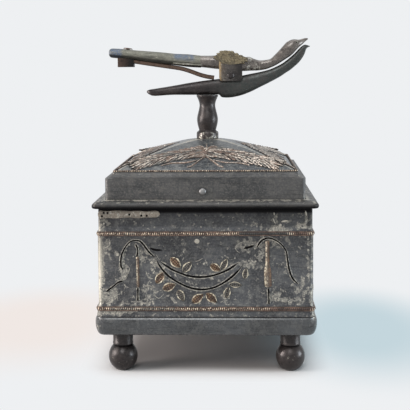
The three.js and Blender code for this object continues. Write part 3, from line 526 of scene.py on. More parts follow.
def rope_form(half, z, corner, radius_out, radius_up, pitch, stretches=()):
    """Twisted rope moulding round the box on the square of half at height z."""
    straight = 2 * (half - corner)
    bend = corner * math.pi / 2
    count = round(4 * (straight + bend) / pitch)
    per_strand, around = 6, 10
    rings = []
    for i in range(count * per_strand):
        run = i / (count * per_strand) * 4
        side, share = int(run), (run - int(run)) * (straight + bend)
        if share < straight:
            spot, angle = Vector((half, share - straight / 2, 0)), 0.0
        else:
            angle = (share - straight) / corner
            spot = Vector((half - corner + corner * math.cos(angle),
                           straight / 2 + corner * math.sin(angle), 0))
        turn = Matrix.Rotation(side * math.pi / 2, 3, "Z")
        out = turn @ Vector((math.cos(angle), math.sin(angle), 0))
        spot = turn @ spot
        wear, grime, tint = rope_marks(spot, stretches)
        ring = []
        for j in range(around):
            lift = 2 * math.pi * j / around
            strand = abs(math.sin(math.pi * i / per_strand + 0.5 * math.sin(lift)))
            scale = 0.72 + 0.28 * strand
            point = spot + out * radius_out * scale * math.cos(lift)
            rise = z + radius_up * scale * math.sin(lift)
            crest = strand ** 1.5 * math.cos(lift / 2) ** 2
            ring.append((point.x, point.y, rise, wear * crest, max(grime, 0.9 * (1 - strand) ** 0.8), tint))
        rings.append(ring)
    return Form().skin(rings, closed=True)


def make_ropes():
    """Two ropes on flat fillets round the body and one at the foot of the dome."""
    for name, low, high, stretches in [
            ("upper_rope_line", upper_rope_low, upper_rope_high, UPPER_ROPE_MARKS),
            ("lower_rope_line", lower_rope_low, lower_rope_high, LOWER_ROPE_MARKS)]:
        seat = high.x - ROPE_PROUD
        fillet = 0.25
        middle = (low.z + high.z) / 2
        rope = rope_form(seat, middle, WALL_CORNER, ROPE_PROUD, (high.z - low.z) / 2 - 0.35, 1.15, stretches)
        edges = [(seat + fillet, low.z), (seat + fillet, high.z), (seat - 0.5, high.z), (seat - 0.5, low.z)]
        rope.skin([plan_loop(half, z, WALL_CORNER, (0, 0, 1)) for half, z in edges], closed=True)
        piece(name.replace("line", "moulding"), "box", rope, ROPE, [name], 60)
    low, high = node_box("dome_rope_line")
    radius_out, radius_up = 0.65, (high.z - low.z) / 2
    rope = rope_form(high.x - radius_out, (low.z + high.z) / 2, DOME_CORNER, radius_out, radius_up, 1.1)
    piece("dome_rope_moulding", "lid", rope, ROPE, ["dome_rope_line"], 60)


def make_base():
    low, top = base_low.z, base_high.z
    widest = low + BASE_WIDEST_RISE
    profile = []
    steps = 9
    for i in range(-steps, steps + 1):
        angle = i / steps * math.pi / 2
        rest = BASE_UNDER_PROUD if i < 0 else FLARE_PROUD
        span = BASE_WIDEST_RISE if i < 0 else top - widest
        bulge = math.cos(angle)
        profile.append((HALF + lerp(rest, BASE_PROUD, bulge), widest + span * math.sin(angle),
                        lerp(WALL_CORNER + FLARE_PROUD, BASE_CORNER, bulge)))
    for half, z in [(HALF - WALL, top), (HALF - WALL, low + LEDGE), (HALF - BASE_INNER, low + LEDGE),
                    (HALF - BASE_INNER, low)]:
        profile.append((half, z, INNER_CORNER, (0, 0.1, 0)))
    piece("base_frame", "box", frame_form(profile), SLATE_BASE, ["base_moulding"])


def make_feet():
    """Turned ball feet with a neck under the base."""
    for corner in ("front_left", "front_right", "back_left", "back_right"):
        low, high = node_box(f"foot_{corner}")
        middle = (low + high) / 2
        ball, half_height, neck, sole = 8.8, 9.3, 6.15, 3.6
        start = math.asin(sole / ball)
        end = math.pi - math.asin(neck / ball)
        centre = half_height * math.cos(start)
        profile = [(0.01, 0, 0, 0.3)]
        for i in range(25):
            angle = lerp(start, end, i / 24)
            profile.append((ball * math.sin(angle), centre - half_height * math.cos(angle),
                            0.2 * math.sin(angle) ** 6, 0.5 if i == 24 else 0))
        throat = centre - half_height * math.cos(end)
        profile += [(neck - 0.5, throat + 0.5, 0, 0.7), (neck, throat + 1, 0.1, 0),
                    (neck, throat + 2.2, 0.1, 0), (neck - 0.2, throat + 2.5, 0, 0.4),
                    (neck, high.z - 1.2, 0.1, 0), (neck, high.z, 0, 0.6), (0.01, high.z, 0, 0)]
        foot = lathe(profile, middle.x, middle.y)
        piece(f"ball_foot_{corner}", "box", foot, IRON, [f"foot_{corner}"])


# Relief on the walls, drawn flat: x to the right of a side's middle, y its height, rise out of the wall
SUNK = -0.15


def strip(form, path, section, width, taper=0.12):
    """Band along a path of (x, y), of one width or one that is worked out from the share of its length."""
    rings = []
    for i, spot in enumerate(path):
        along = direction(path, i)
        share = i / (len(path) - 1)
        end = min(smooth_step(share, 0, taper), smooth_step(share, 1, 1 - taper)) if taper else 1
        half = (width(share) if callable(width) else width) / 2 * lerp(0.35, 1, end)
        ring = []
        for across, rise, wear, grime, tint in section:
            x = spot[0] - along.y * across * half
            y = spot[1] + along.x * across * half
            height = rise * lerp(0.4, 1, end) if rise > 0 else rise
            ring.append((x, y, height, wear, grime, tint))
        rings.append(ring)
    form.skin(rings)


def mirrored(half):
    """A section from its left half, which may end in a point in the middle."""
    return half + [(-across, *rest) for across, *rest in reversed(half) if across]


# Points of bands: across from -1 to 1, rise, wear, grime (which also paints shade) and tint
ROUND_SECTION = [(-1, SUNK, 0, 1, 0), (-1, 0.05, 0, 0.8, 0), (-0.7, 0.4, 0.5, 0, 1), (0, 0.6, 0.9, 0, 1),
                 (0.7, 0.4, 0.1, 0, 1), (1, 0.05, 0, 0.8, 0), (1, SUNK, 0, 1, 0)]
# The black floor of a groove, between its pale lips, is painted shade as in a deep undercut
GROOVE_SECTION = [(-1, SUNK, 0, 0, 0), (-1, 0.2, 0.6, 0, 0), (-0.8, 0.5, 0.75, 0, 0),
                  (-0.52, 0.5, 0.75, 0, 0), (-0.44, 0.3, 0, 1, 0), (0.4, 0.3, 0, 1, 0),
                  (0.48, 0.5, 0.6, 0, 0), (0.75, 0.5, 0.6, 0, 0), (1, 0.2, 0.5, 0, 0), (1, SUNK, 0, 0, 0)]
PENDANT_SECTION = [(-1, SUNK, 0, 1, 0), (-1, 0.05, 0, 0.8, 0), (-0.75, 0.4, 0.9, 0, 0.6),
                   (0, 0.6, 0.6, 0, 0.5), (0.5, 0.5, 0, 0, 0.6), (0.8, 0.4, 0.1, 0, 1),
                   (1, 0.05, 0, 0.8, 0), (1, SUNK, 0, 1, 0)]
RIB_SECTION = mirrored([(-1, SUNK, 0, 1, 0), (-0.6, 0.4, 0.6, 0, 0)])
DASH_SECTION = mirrored([(-1, SUNK, 0, 1, 0), (-0.9, 0.25, 0, 1, 0)])
FLAKE_SECTION = mirrored([(-1, SUNK, 0.5, 0, 0), (-0.8, 0.1, 0.5, 0, 0)])

# Points of leaves: across, rise, wear and grime
LEAF_SECTION = mirrored([(-1, SUNK, 0, 0.8), (-1, 0.75, 1, 0), (-0.76, 0.9, 1, 0), (-0.62, 0.5, 0, 0.3),
                         (-0.3, 0.75, 0.45, 0), (-0.1, 0.7, 0.3, 0), (0, 0.4, 0, 0.9)])
FEATHER_SECTION = [(-1, SUNK, 0, 0.5), (-0.8, 0.6, 0.2, 0.15), (0, 1, 0.8, 0), (0.8, 0.6, 0.2, 0),
                   (1, SUNK, 0, 0.5)]
BLADE_SECTION = [(-1, SUNK, 0, 1), (-0.85, 0.4, 0, 0.7), (-0.4, 0.9, 1, 0), (0.2, 1, 0.6, 0),
                 (0.85, 0.5, 0, 0.4), (1, SUNK, 0, 1)]


def leaf(form, x, y, degrees, length, width, tint, rise=0.75, section=LEAF_SECTION, steps=9, veined=False,
         shine=1.0):
    """Almond leaf along its heading. Section points are (across, rise, wear, grime)."""
    along = Vector((math.cos(math.radians(degrees)), math.sin(math.radians(degrees))))
    across = Vector((-along.y, along.x))
    rings = []
    for i in range(steps + 1):
        share = i / steps
        half = width / 2 * max(0.06, math.sin(math.pi * share ** 0.85) ** 0.8)
        spot = Vector((x, y)) + along * length * (share - 0.5)
        ring = []
        for side, height, wear, grime in section:
            if veined and i % 2 and abs(side) < 0.7:
                wear, grime = 0, 0.6
            place = spot + across * side * half
            lift = height * rise if height > 0 else height
            ring.append((place.x, place.y, lift, min(1, wear * shine), grime, tint))
        rings.append(ring)
    form.skin(rings)


def stud(form, x, y, radius, rise, marks):
    """Small domed spot."""
    form.skin([[(x + share * radius * cosine, y + share * radius * sine, height, *marks)
                for cosine, sine in circle(10)]
               for share, height in [(1, SUNK), (1, 0.3 * rise), (0.75, 0.8 * rise), (0.3, rise)]])


UPPER_CORD = [(-26.8, 69), (-24.5, 67.3), (-20.1, 64.5), (-15.7, 62.4), (-9, 60.2), (-1.6, 59.7),
              (5.7, 60.9), (13.1, 63.9), (16.8, 66.2), (20.2, 68.4)]
LOWER_CORD = [(-29.2, 70.8), (-26.7, 66.2), (-22.4, 60.9), (-16.5, 56.7), (-9.1, 53.3), (-1.7, 52.2),
              (5.7, 53.6), (13.1, 57.8), (18.3, 62.4), (22.4, 67)]
LEFT_ARCH = [(-29.7, 71.4), (-33.3, 74.8), (-36.6, 79.3), (-38.8, 81.2), (-42.1, 81.5), (-45.1, 80),
             (-48.1, 75.9), (-49.7, 71.4), (-49.9, 66.9), (-48.9, 63.9)]
LEFT_TAIL = [(-49, 57.2), (-51.7, 56.4), (-54.4, 54.2), (-58.9, 50.8)]
RIGHT_ARCH = [(30.5, 77), (32, 80), (34.5, 82.2), (37.5, 82.9), (41.1, 81.8), (44.8, 79.2), (47.7, 75.1),
              (48.5, 69.9), (49.6, 63.9), (51.4, 59.1), (54.7, 55.3)]
LEFT_BAR = [(-40.2, 71.8), (-40, 63.9), (-40, 53.4)]
RIGHT_BAR = [(36.6, 81.4), (36.7, 72.9), (36.7, 63.9), (37.1, 53.5)]
LEFT_THREADS = [[(-41, 79.3), (-39.8, 76), (-40.4, 72)], [(-40, 53.4), (-40.1, 45.1)]]
RIGHT_THREADS = [[(37.3, 53), (37.6, 43)]]
DASHES = [[(-32.6, 77), (-29.6, 75.9), (-25.5, 75.7)], [(22.8, 76.6), (26.1, 77.5), (28.7, 78.5)]]

# x, height, angle, length, width, tint
SWAG_LEAVES = [
    (-17.5, 68.3, -45, 7.6, 4.8, 1), (-10.6, 65.8, 48, 7.4, 4.2, 0.1), (-26.8, 59.2, 55, 7.6, 4.6, 0.8),
    (-21.5, 53.8, 22, 7.8, 4.6, 0.8), (-14.5, 48.5, -62, 7, 4.2, 0.2), (-4.6, 46.8, 38, 7.8, 4.6, 0.9),
    (6, 65.3, -28, 6.6, 4.2, 1), (11.3, 67.3, 62, 6.8, 3.6, 0), (3.6, 47.1, -40, 7.8, 4.6, 1),
    (12.9, 50.4, 75, 6.4, 3.8, 0.1), (17.9, 55.1, -5, 6.8, 3.2, 0), (23.7, 61.8, 82, 6, 3.2, 0),
]

# Pale lines and dots where the skin has flaked off the front: width and path, then x, y and radius
FLAKE_LINES = [
    (1.1, [(-35.1, 62.9), (-34.4, 60.5), (-32.8, 58.9), (-31.1, 58.6)]),
    (1.8, [(-20.6, 47.6), (-18.7, 45.4), (-16.4, 42.3)]),
    (0.7, [(-46, 66), (-45, 64.6), (-46, 61.7), (-48, 59.3), (-49.2, 56.9)]),
    (0.8, [(-48.5, 55.7), (-47.3, 54), (-45.4, 53.1)]),
    (0.7, [(-56.9, 82.5), (-56.4, 79.4), (-58.1, 77.5), (-61, 76.8)]),
    (0.6, [(-35.7, 53.6), (-34.3, 54.5), (-31.9, 53.6), (-32.4, 51.2)]),
    (0.5, [(-30, 51.2), (-30.5, 49.2), (-27.7, 46.8), (-24.4, 49.7)]),
    (0.6, [(-5.8, 68.9), (-3.9, 69.4), (-1.5, 70.8)]), (0.5, [(-13.5, 69.4), (-12.6, 71.5)]),
    (0.6, [(-53.2, 56), (-56.1, 53.6), (-59, 50.7)]), (0.9, [(34.7, 74.1), (32.8, 73.2), (30.7, 71.7)]),
    (0.7, [(40.6, 98), (40.8, 96.4)]), (0.8, [(39.9, 94.7), (40.6, 93), (41.5, 91.4)]),
    (0.9, [(44.8, 92.3), (46.9, 93), (49.2, 92.8)]), (0.8, [(59.1, 98.9), (59.7, 96.1)]),
    (0.8, [(59.5, 93.3), (59.2, 90.9)]), (0.6, [(46.9, 51.5), (47.8, 50.3)]),
    (0.5, [(21.5, 80.2), (18.6, 78.4), (18.2, 76), (20.4, 73.9)]),
    (0.5, [(49.1, 66), (50.2, 62), (52.2, 58.4), (54.9, 55)]),
]
FLAKE_DOTS = [
    (-4.8, 81, 1.5), (-0.8, 67.5, 0.7), (-4.6, 67.5, 0.5), (-38.8, 74.9, 0.7), (-31.7, 68.2, 0.8),
    (-52, 73.2, 1.1), (-59.8, 91.6, 0.6), (-40.8, 78.7, 0.9), (60.6, 82.1, 0.6), (60.6, 78.8, 0.5),
    (60.6, 75.5, 0.7), (60.6, 70.3, 0.5), (60.6, 65.1, 0.6), (60.5, 60.5, 0.9), (60.6, 53.1, 0.8),
    (58.1, 46.4, 0.7), (41.4, 46.4, 0.8), (43.1, 45.7, 0.7), (47.3, 45.2, 0.9), (25.8, 69.3, 0.6),
    (27.6, 69.1, 0.6), (29.7, 68.9, 0.6), (25.7, 67.2, 0.5), (27.6, 67.7, 0.5), (-44.9, 78.9, 0.6),
    (-46.8, 75.6, 0.6), (-48.5, 71.3, 0.7), (-48.4, 67.5, 0.8), (-48.4, 63.2, 0.9), (-48, 58.8, 0.9),
    (38.2, 87, 1.1), (42.2, 88.3, 1.4), (45.5, 88.1, 1.2), (44.3, 90.4, 0.9), (34.2, 84.2, 0.7),
    (11.8, 72.3, 0.5), (17.6, 70.9, 0.5), (-1.2, 57.4, 0.6), (-5, 51, 0.4), (14, 46.8, 0.5),
]
RESIDUE_LINE = [(-63.2, 96.9), (-58, 96.9), (-49, 97.1), (-40, 97), (-33, 97), (-26.6, 97.3)]
BLOTCHES = [(-37.5, 96.3), (-34.3, 96.2), (-44.6, 96.9), (-57.6, 97.9), (-60.8, 96), (-59.7, 98)]


# Points of the hanging ribbon: share of the way from the upper to the lower cord, rise and wear
RIBBON_SECTION = [(0, SUNK, 0), (0, 0.2, 0), (0.25, 0.4, 0.1), (0.5, 0.45, 0.15), (0.75, 0.4, 0.1),
                  (1, 0.2, 0), (1, SUNK, 0)]


def festoon_form():
    """Ribbon that hangs between two dark cords, grooves whose black floor is painted shade."""
    form = Form().skin([
        [(lerp(x, below_x, share), lerp(y, below_y, share), rise, wear, 0, 0)
         for share, rise, wear in RIBBON_SECTION]
        for (x, y), (below_x, below_y) in zip(smooth(UPPER_CORD, 8), smooth(LOWER_CORD, 8))])
    for cord in (UPPER_CORD, LOWER_CORD):
        strip(form, smooth(cord, 10), GROOVE_SECTION,
              lambda share: 2.2 + 0.5 * math.sin(3 * math.pi * share) ** 2)
    return form


def swag_leaves_form():
    form = Form()
    for x, y, degrees, length, width, tint in SWAG_LEAVES:
        leaf(form, x, y, degrees, 1.06 * length, 1.12 * width, tint, steps=12, veined=True)
    return form


def ribbons_form():
    """Arches, threads and short dashes beside the festoon."""
    form = Form()
    for path in (LEFT_ARCH, LEFT_TAIL, RIGHT_ARCH, *LEFT_THREADS, *RIGHT_THREADS):
        strip(form, smooth(path, 8), GROOVE_SECTION, lambda share: 1.9 + 0.3 * math.sin(9 * share), 0.08)
    for path in DASHES:
        strip(form, smooth(path, 5), DASH_SECTION, 1.3, 0.3)
    return form


def pendants_form():
    """Straight bar under the left arch, and one that widens under the right arch."""
    form = Form()
    strip(form, smooth(LEFT_BAR, 8), PENDANT_SECTION, 1.8, 0.03)
    strip(form, smooth(RIGHT_BAR, 8), PENDANT_SECTION,
          lambda share: lerp(2.4, 4.7, smooth_step(share, 0.5, 0.7)), 0.03)
    return form


def wall_surface(x, y, rise):
    return (x, -HALF - rise, y)


def make_wall_relief():
    """The same festoon, ribbons and pendants on each of the four sides."""
    for quarter, side in enumerate(SIDES):
        for name, form, material, slot in [
                ("festoon", festoon_form(), SLATE, "dark_metal"),
                ("festoon_leaves", swag_leaves_form(), ORNAMENT, "copper"),
                ("ribbons", ribbons_form(), SLATE, "dark_metal"),
                ("pendants", pendants_form(), ORNAMENT, "copper")]:
            form.mapped(wall_surface).turned(quarter)
            piece(f"{name}_{side}", "box", form, material, ["body_walls"])


def make_front_flakes():
    """Bare metal where the skin has come off, and the strip of old residue under the rim."""
    bare = Form()
    for width, path in FLAKE_LINES:
        strip(bare, smooth(path, 5), FLAKE_SECTION, width, 0.3)
    for x, y, radius in FLAKE_DOTS:
        stud(bare, x, y, radius, 0.12, (0.6, 0, 0))
    residue = Form()
    strip(residue, smooth(RESIDUE_LINE, 6), FLAKE_SECTION,
          lambda share: 4.8 - 1.2 * share + 0.3 * math.sin(23 * share), 0.06)
    for x, y in BLOTCHES:
        stud(residue, x, y, 0.8, 0.16, (0, 1, 0))
    for name, form, metal in (("flaked_spots", bare, FLAKED), ("residue", residue, RESIDUE)):
        piece(name, "box", form.mapped(wall_surface), metal, ["body_walls"])


# Lid
RIM_FILLET = 1.1


def make_rim():
    low, high = rim_low.z, rim_high.z
    height = high - low
    # Grime from 1 at the rim's foot, fading up its face, is painted shade on its underside; wear along its
    # top edge is worn metal and also a painted highlight on its lit top
    outline = [(1.2, 0, 0, 1), (0.5, 0.05, 0, 0.9), (0.12, 0.2, 0, 0.75), (0, 0.4, 0, 0.6),
               (0.12, 0.6, 0, 0.52), (0.5, 0.76, 0, 0.42), (1.2, 0.88, 0.3, 0.2), (2.4, 1.1, 0.5, 0)]
    profile = [(HALF + RIM_PROUD - inset, low + share * height, RIM_CORNER - inset, (wear, grime, 0))
               for inset, share, wear, grime in outline]
    profile += [(BAND_HALF + 0.6, high + RIM_FILLET, WALL_CORNER + 0.6, (1, 0, 0)),
                (BAND_HALF + 0.1, high + RIM_FILLET, WALL_CORNER, (0, 0.8, 0)),
                (BAND_HALF - LID_WALL, high, INNER_CORNER), (BAND_HALF - LID_WALL, low, INNER_CORNER)]
    piece("rim", "lid", frame_form(profile), SLATE_LID, ["lid_rim"])


def make_band():
    low, high = band_low.z, band_high.z
    cove_foot = high - COVE_HEIGHT
    inner = BAND_HALF - LID_WALL
    lip = DOME_FOOT_HALF - DOME_WALL - SHOULDER_WALL
    profile = [(BAND_HALF, low, WALL_CORNER, (0.3, 0.3, 0)), (BAND_HALF, low + 1, WALL_CORNER, (0, 0.1, 0)),
               (BAND_HALF, cove_foot - 0.8, WALL_CORNER)]
    steps = 10
    for i in range(steps + 1):
        angle = i / steps * math.pi / 2
        half = BAND_HALF - (BAND_HALF - COVE_TOP_HALF) * math.sin(angle)
        z = cove_foot + COVE_HEIGHT * (1 - math.cos(angle))
        wear = 0.2 if i < 2 else 0.05
        profile.append((half, z, lerp(WALL_CORNER, DOME_CORNER, i / steps), (wear, 0, 0)))
    profile += [(lip, high, INNER_CORNER), (lip, high - SHOULDER_WALL, INNER_CORNER),
                (COVE_TOP_HALF - SHOULDER_WALL, high - SHOULDER_WALL, INNER_CORNER),
                (inner, cove_foot - SHOULDER_WALL, INNER_CORNER), (inner, low, INNER_CORNER)]
    piece("band", "lid", frame_form(profile), SLATE_LID, ["lid_band"])


def dome_half(share):
    return lerp(DOME_FOOT_HALF, DOME_TOP_HALF, share)


def dome_z(share):
    return dome_low.z + DOME_HEIGHT * (1 - (1 - share) ** DOME_POWER) ** DOME_BULGE


def make_dome():
    steps = 28
    outer, inner = [], []
    for i in range(steps + 1):
        share = i / steps
        radius = lerp(DOME_CORNER, 0.9 * DOME_TOP_HALF, share ** 6)
        # A corner wear of 1 wears the dome's hips pale: worn metal and also a painted highlight along them
        outer.append(plan_loop(dome_half(share), dome_z(share), radius, (0.1, 0, 0), 1))
        low = max(dome_low.z, dome_z(share) - DOME_WALL)
        inner.append(plan_loop(dome_half(share) - DOME_WALL * (1 - share), low, radius))
    form = Form().skin([*reversed(inner), *outer])
    piece("dome", "lid", form, DOME_METAL, ["lid_dome"])


def dome_surface(x, y, rise):
    """y is the way up the panel in millimetres from the dome's foot."""
    run = math.hypot(DOME_FOOT_HALF - DOME_TOP_HALF, DOME_HEIGHT)
    share = min(max(y / run, 0.01), 0.99)
    near = 0.01
    climb = dome_z(share + near) - dome_z(share - near)
    inward = dome_half(share - near) - dome_half(share + near)
    normal = Vector((0, -climb, inward)).normalized()
    return Vector((x, -dome_half(share), dome_z(share))) + normal * rise


# x to the side of the bow and y up the panel, then offset of each row of blades and its lean in degrees
GARLAND_LINE = [(1.5, 24), (10, 22.5), (20, 18.2), (30, 13.3), (38, 9.5), (44, 6.5)]
GARLAND_ROWS = [(-6.2, -26), (-3.2, -20), (0, -10), (3.2, 12), (6.2, 20)]
BLADE_LENGTHS = (6.5, 8.5)
BLADE_WIDTHS = (2.4, 3.2)
BLADE_RISE = 0.9
BOW_LOOP = [(0, 27), (3, 33), (6.5, 32), (4, 26), (0, 24)]
BOW_TAILS = [[(0, 18), (4, 12), (8, 6), (11, 4)], [(4, 13), (12, 9.5), (20, 9), (27, 6)]]
BOW_STEM = [(0, 18), (0, 24), (0, 30), (0, 38)]
BOW_WIDTH = 1.5
STEM_WIDTH = 1.7


def garland_form(chance):
    """Overlapping blades on a dark strip, from the bow to both lower corners of a panel."""
    form = Form()
    for sign in (-1, 1):
        line = smooth([(sign * x, y) for x, y in GARLAND_LINE], 3)
        strip(form, line, DASH_SECTION, lambda share: lerp(15, 8, share), 0.1)
        for i, (a, b) in enumerate(zip(line, line[1:])):
            heading = math.atan2(b[1] - a[1], b[0] - a[0])
            narrowing = lerp(1, 0.6, i / len(line))
            for off, lean in GARLAND_ROWS:
                off *= narrowing
                x = (a[0] + b[0]) / 2 - math.sin(heading) * off * sign
                y = (a[1] + b[1]) / 2 + math.cos(heading) * off * sign
                leaf(form, x + chance.uniform(-0.4, 0.4), y + chance.uniform(-0.3, 0.3),
                     math.degrees(heading) + lean * sign * chance.uniform(0.8, 1.2),
                     chance.uniform(*BLADE_LENGTHS), chance.uniform(*BLADE_WIDTHS) * narrowing,
                     chance.choice([0.1, 0.6, 1]), BLADE_RISE, BLADE_SECTION, 6,
                     shine=chance.uniform(0.2, 1.3) * lerp(0.9, 1.8, i / len(line)))
    return form


def bow_form():
    """Two loops and four tails on a stem, with a knot in the middle."""
    form = Form()
    for sign in (-1, 1):
        strip(form, smooth([(sign * x, y) for x, y in BOW_LOOP], 5), ROUND_SECTION, BOW_WIDTH, 0)
        for tail in BOW_TAILS:
            strip(form, smooth([(sign * x, y) for x, y in tail], 5), ROUND_SECTION, BOW_WIDTH)
    stud(form, 0, 28, 1.7, 1.2, (0.9, 0, 0.4))
    strip(form, BOW_STEM, ROUND_SECTION, STEM_WIDTH)
    return form


def make_dome_relief():
    """Leaf garlands that fall from a bow to the corners of each panel."""
    chance = random.Random(7)
    for quarter, side in enumerate(SIDES):
        for name, form in (("garland", garland_form(chance)), ("bow", bow_form())):
            form.mapped(dome_surface).turned(quarter)
            piece(f"dome_{name}_{side}", "lid", form, GARLAND, ["lid_dome"])


# Radius, way back from the band's face, wear and grime; the grime on the stem and the button's rim is a
# painted shadow ring round the knob
KNOB_PROFILE = [(0.01, 0.5, 0, 0.6), (1.4, 0.5, 0, 0.8), (1.4, -0.4, 0, 0.8), (1.9, -0.7, 0.5, 0.9),
                (2.1, -1, 0.9, 0.6), (1.8, -1.5, 0.9, 0.1), (1.1, -1.85, 0.9, 0), (0.01, -1.9, 0.9, 0)]


def make_knob():
    low, high = node_box("lid_knob")
    centre = (low + high) / 2
    knob = lathe(KNOB_PROFILE, sides=32)
    knob.mapped(lambda x, y, back: (centre.x + x, -BAND_HALF + back, centre.z + y))
    piece("knob_button", "lid", knob, STEEL, ["lid_knob"])


# Bird and its post
def make_post():
    foot, top = dome_high.z, post_top
    belly = smooth([(5.5, 5.6), (6.8, 12.6), (5.1, 21.6), (6.6, 26.9)], 10)
    profile = [(0.01, -7.9, 0, 0), (1.9, -7.9, 0, 0), (1.9, 0, 0, 0.8), (7.0, 0, 0.2, 0.5),
               (7.1, 0.5, 0.6, 0), (7.1, 3.6, 0.6, 0), (6.8, 4.4, 0.5, 0), (5.7, 5.2, 0, 0.7)]
    profile += [(radius, z, 0, 0) for radius, z in belly]
    profile += [(6.9, 27.3, 0.1, 0), (7, 27.7, 0.2, 0), (7, top - foot, 0.1, 0.3), (0.01, top - foot, 0, 0)]
    post = lathe([(radius, foot + z, wear, grime) for radius, z, wear, grime in profile])
    piece("turned_post", "lid", post, IRON, ["post"])


ROUND_FIT = 0.975


def loft(stations, sides=28, square=0.7, marks=lambda x, up: (0, 0, 0)):
    """Cast form along X through stations of (x, bottom, top, half width) over the post's top."""
    def rounded(value):
        return math.copysign(abs(value) ** square, value)

    rings = []
    for x, bottom, top, half in smooth(stations, 4):
        ring = []
        for i in range(sides):
            angle = 2 * math.pi * (i + 0.5) / sides
            up = rounded(math.sin(angle)) * ROUND_FIT
            z = post_top + (bottom + top) / 2 + (top - bottom) / 2 * up
            ring.append((x, half * rounded(math.cos(angle)), z, *marks(x, up)))
        rings.append(ring)
    return Form().skin(rings)


LOWER_JAW = [
    (-39.3, 1.8, 3.0, 1.6), (-37.6, 0.4, 3.8, 2.8), (-34, -0.5, 4.4, 3.6), (-23, 0.1, 6.1, 4.2),
    (-8.5, 0, 8.6, 4.4), (4.5, 0, 10.2, 3.5), (7.6, 0, 10.6, 3.5), (9.6, -1.7, 10.9, 3.5),
    (15, -1.9, 11.4, 3.5), (21.4, -0.7, 12.4, 3.5), (28, 1.7, 13.7, 3.5), (34.5, 4.9, 14.9, 3.5),
    (41, 8.1, 16.6, 3.4), (47.6, 11.7, 19.6, 3.2), (51, 14, 21.9, 3), (54, 15.9, 24.3, 2.9),
    (57, 18.4, 27, 2.7), (59.3, 20.5, 29.5, 2.4), (61.5, 23.4, 31.4, 2.1), (63, 26.1, 32.1, 1.8),
    (64.1, 29.2, 32, 1.4), (65.2, 30.3, 31.6, 1), (66.4, 30.8, 31.2, 0.6),
]
BIRD_BODY = [
    (-4, 17.9, 25.6, 4.4), (3, 17, 25.6, 4.9), (6, 16.6, 25.9, 5), (9.7, 16.3, 27.7, 5),
    (12.5, 16, 28.2, 5), (16.2, 15.8, 27.2, 5), (19.4, 15.4, 25.5, 4.9), (23, 15.1, 24.5, 4.7),
    (27.4, 15.3, 24.6, 4.4), (30, 15.4, 23.5, 4.1), (34, 15.6, 22.3, 3.8), (38.4, 16.4, 22.6, 3.6),
    (41.2, 17.4, 23.4, 3.6), (44, 18.6, 26, 3.8), (46.7, 20.1, 28.8, 4.1), (49.1, 21.6, 31.5, 4.4),
    (51.3, 23, 33.8, 4.6), (54.1, 24.9, 35.3, 4.7), (56.4, 27.1, 35.7, 4.4), (59.2, 30.2, 35.4, 3.4),
    (61.4, 32.1, 35.9, 2.2), (63.3, 33.9, 36.3, 1.4), (65.1, 35.3, 36.2, 0.6),
]
TAIL = [
    (-63.2, 25.6, 29.4, 4.8), (-62.5, 24.7, 30.3, 5.6), (-60.7, 24.3, 30.6, 5.8), (-54, 23.7, 30.2, 5.8),
    (-47, 22.9, 29.4, 5.5), (-38.5, 21.5, 28.7, 5.2), (-29.3, 20.3, 27.9, 4.9), (-20, 19.2, 26.9, 4.6),
    (-12, 18.1, 26.5, 4.4), (-4, 17.6, 25.6, 4.2),
]
WING = [(4, 24.6), (6.5, 26), (9.7, 28.1), (12.5, 28.6), (16.2, 27.6), (19.4, 26), (23, 24.9), (26.5, 23.2),
        (23.5, 20.8), (19, 19.9), (14.8, 19.6), (10.5, 20.4), (7, 22.2)]
SPRING_PATH = [(-57.4, 23.2), (-52.3, 22.7), (-47.2, 22), (-38.5, 20.6), (-29.3, 19.2), (-20, 17.8),
               (-15.5, 16.9), (-10.7, 15.4), (-5.1, 13.3), (0, 11.9), (4.5, 11.2)]
PIVOT = Vector((15.3, 0, 12.6))


def make_lower_jaw():
    jaw = loft(LOWER_JAW, marks=lambda x, up: (0, 0, smooth_step(x, -5, 25)))
    reach, lug = 3.5, 2.8
    jaw.skin([[(PIVOT.x + lug * cosine, y, post_top + PIVOT.z + lug * sine, 0, 0, 0)
               for cosine, sine in circle(24)] for y in (-reach, reach)])
    piece("lower_arm", "lid", jaw, IRON, ["lower_jaw"])


# x, lower end, grime and tint of each ear from left to right: the tint on the left edge is a painted gold
# highlight, and the grime rising to the right is painted shade
EAR = [(7.85, 11.2, 0, 0.9), (8.5, 9.6, 0, 0.8), (9.6, 9, 0.36, 0.1), (13, 9, 0.44, 0), (16, 9, 0.5, 0),
       (18.5, 9, 0.6, 0), (20.7, 9, 0.64, 0), (22.1, 9.6, 0.64, 0), (22.75, 11.2, 0.55, 0)]
EAR_TOP = 22


def make_bird():
    # Worn pale right of the wing, and grime on the underside below the wings that is painted shade
    body = loft(BIRD_BODY, marks=lambda x, up: (
        0.5 * smooth_step(x, 22, 26) * smooth_step(x, 38, 33), 0.35 if up < -0.6 and x < 24 else 0, 0))
    for sign in (-1, 1):
        body.skin([[(x, sign * y, post_top + z, 0.1, grime, tint)
                    for y, z in ((3.8, foot), (5.8, foot), (5.8, EAR_TOP), (3.8, EAR_TOP))]
                   for x, foot, grime, tint in EAR])
    piece("bird_figure", "upper_jaw", body, BIRD_METAL, ["bird_body"])


EYE = (57.6, 33.4)


def make_eyes():
    """A ring and a dark pupil on each side of the head."""
    eyes = Form()
    for sign in (-1, 1):
        for radius, reach, marks in ((0.9, 0.3, (0.5, 0, 0)), (0.45, 0.45, (0, 1, 0))):
            eyes.skin([[(EYE[0] + share * radius * cosine, sign * (3.7 + out * reach),
                         post_top + EYE[1] + share * radius * sine, *marks)
                        for cosine, sine in circle(16)]
                       for share, out in ((1, -0.9), (1, 0.3), (0.6, 1))])
    piece("eyes", "upper_jaw", eyes, TAIL_IRON, ["bird_body"])


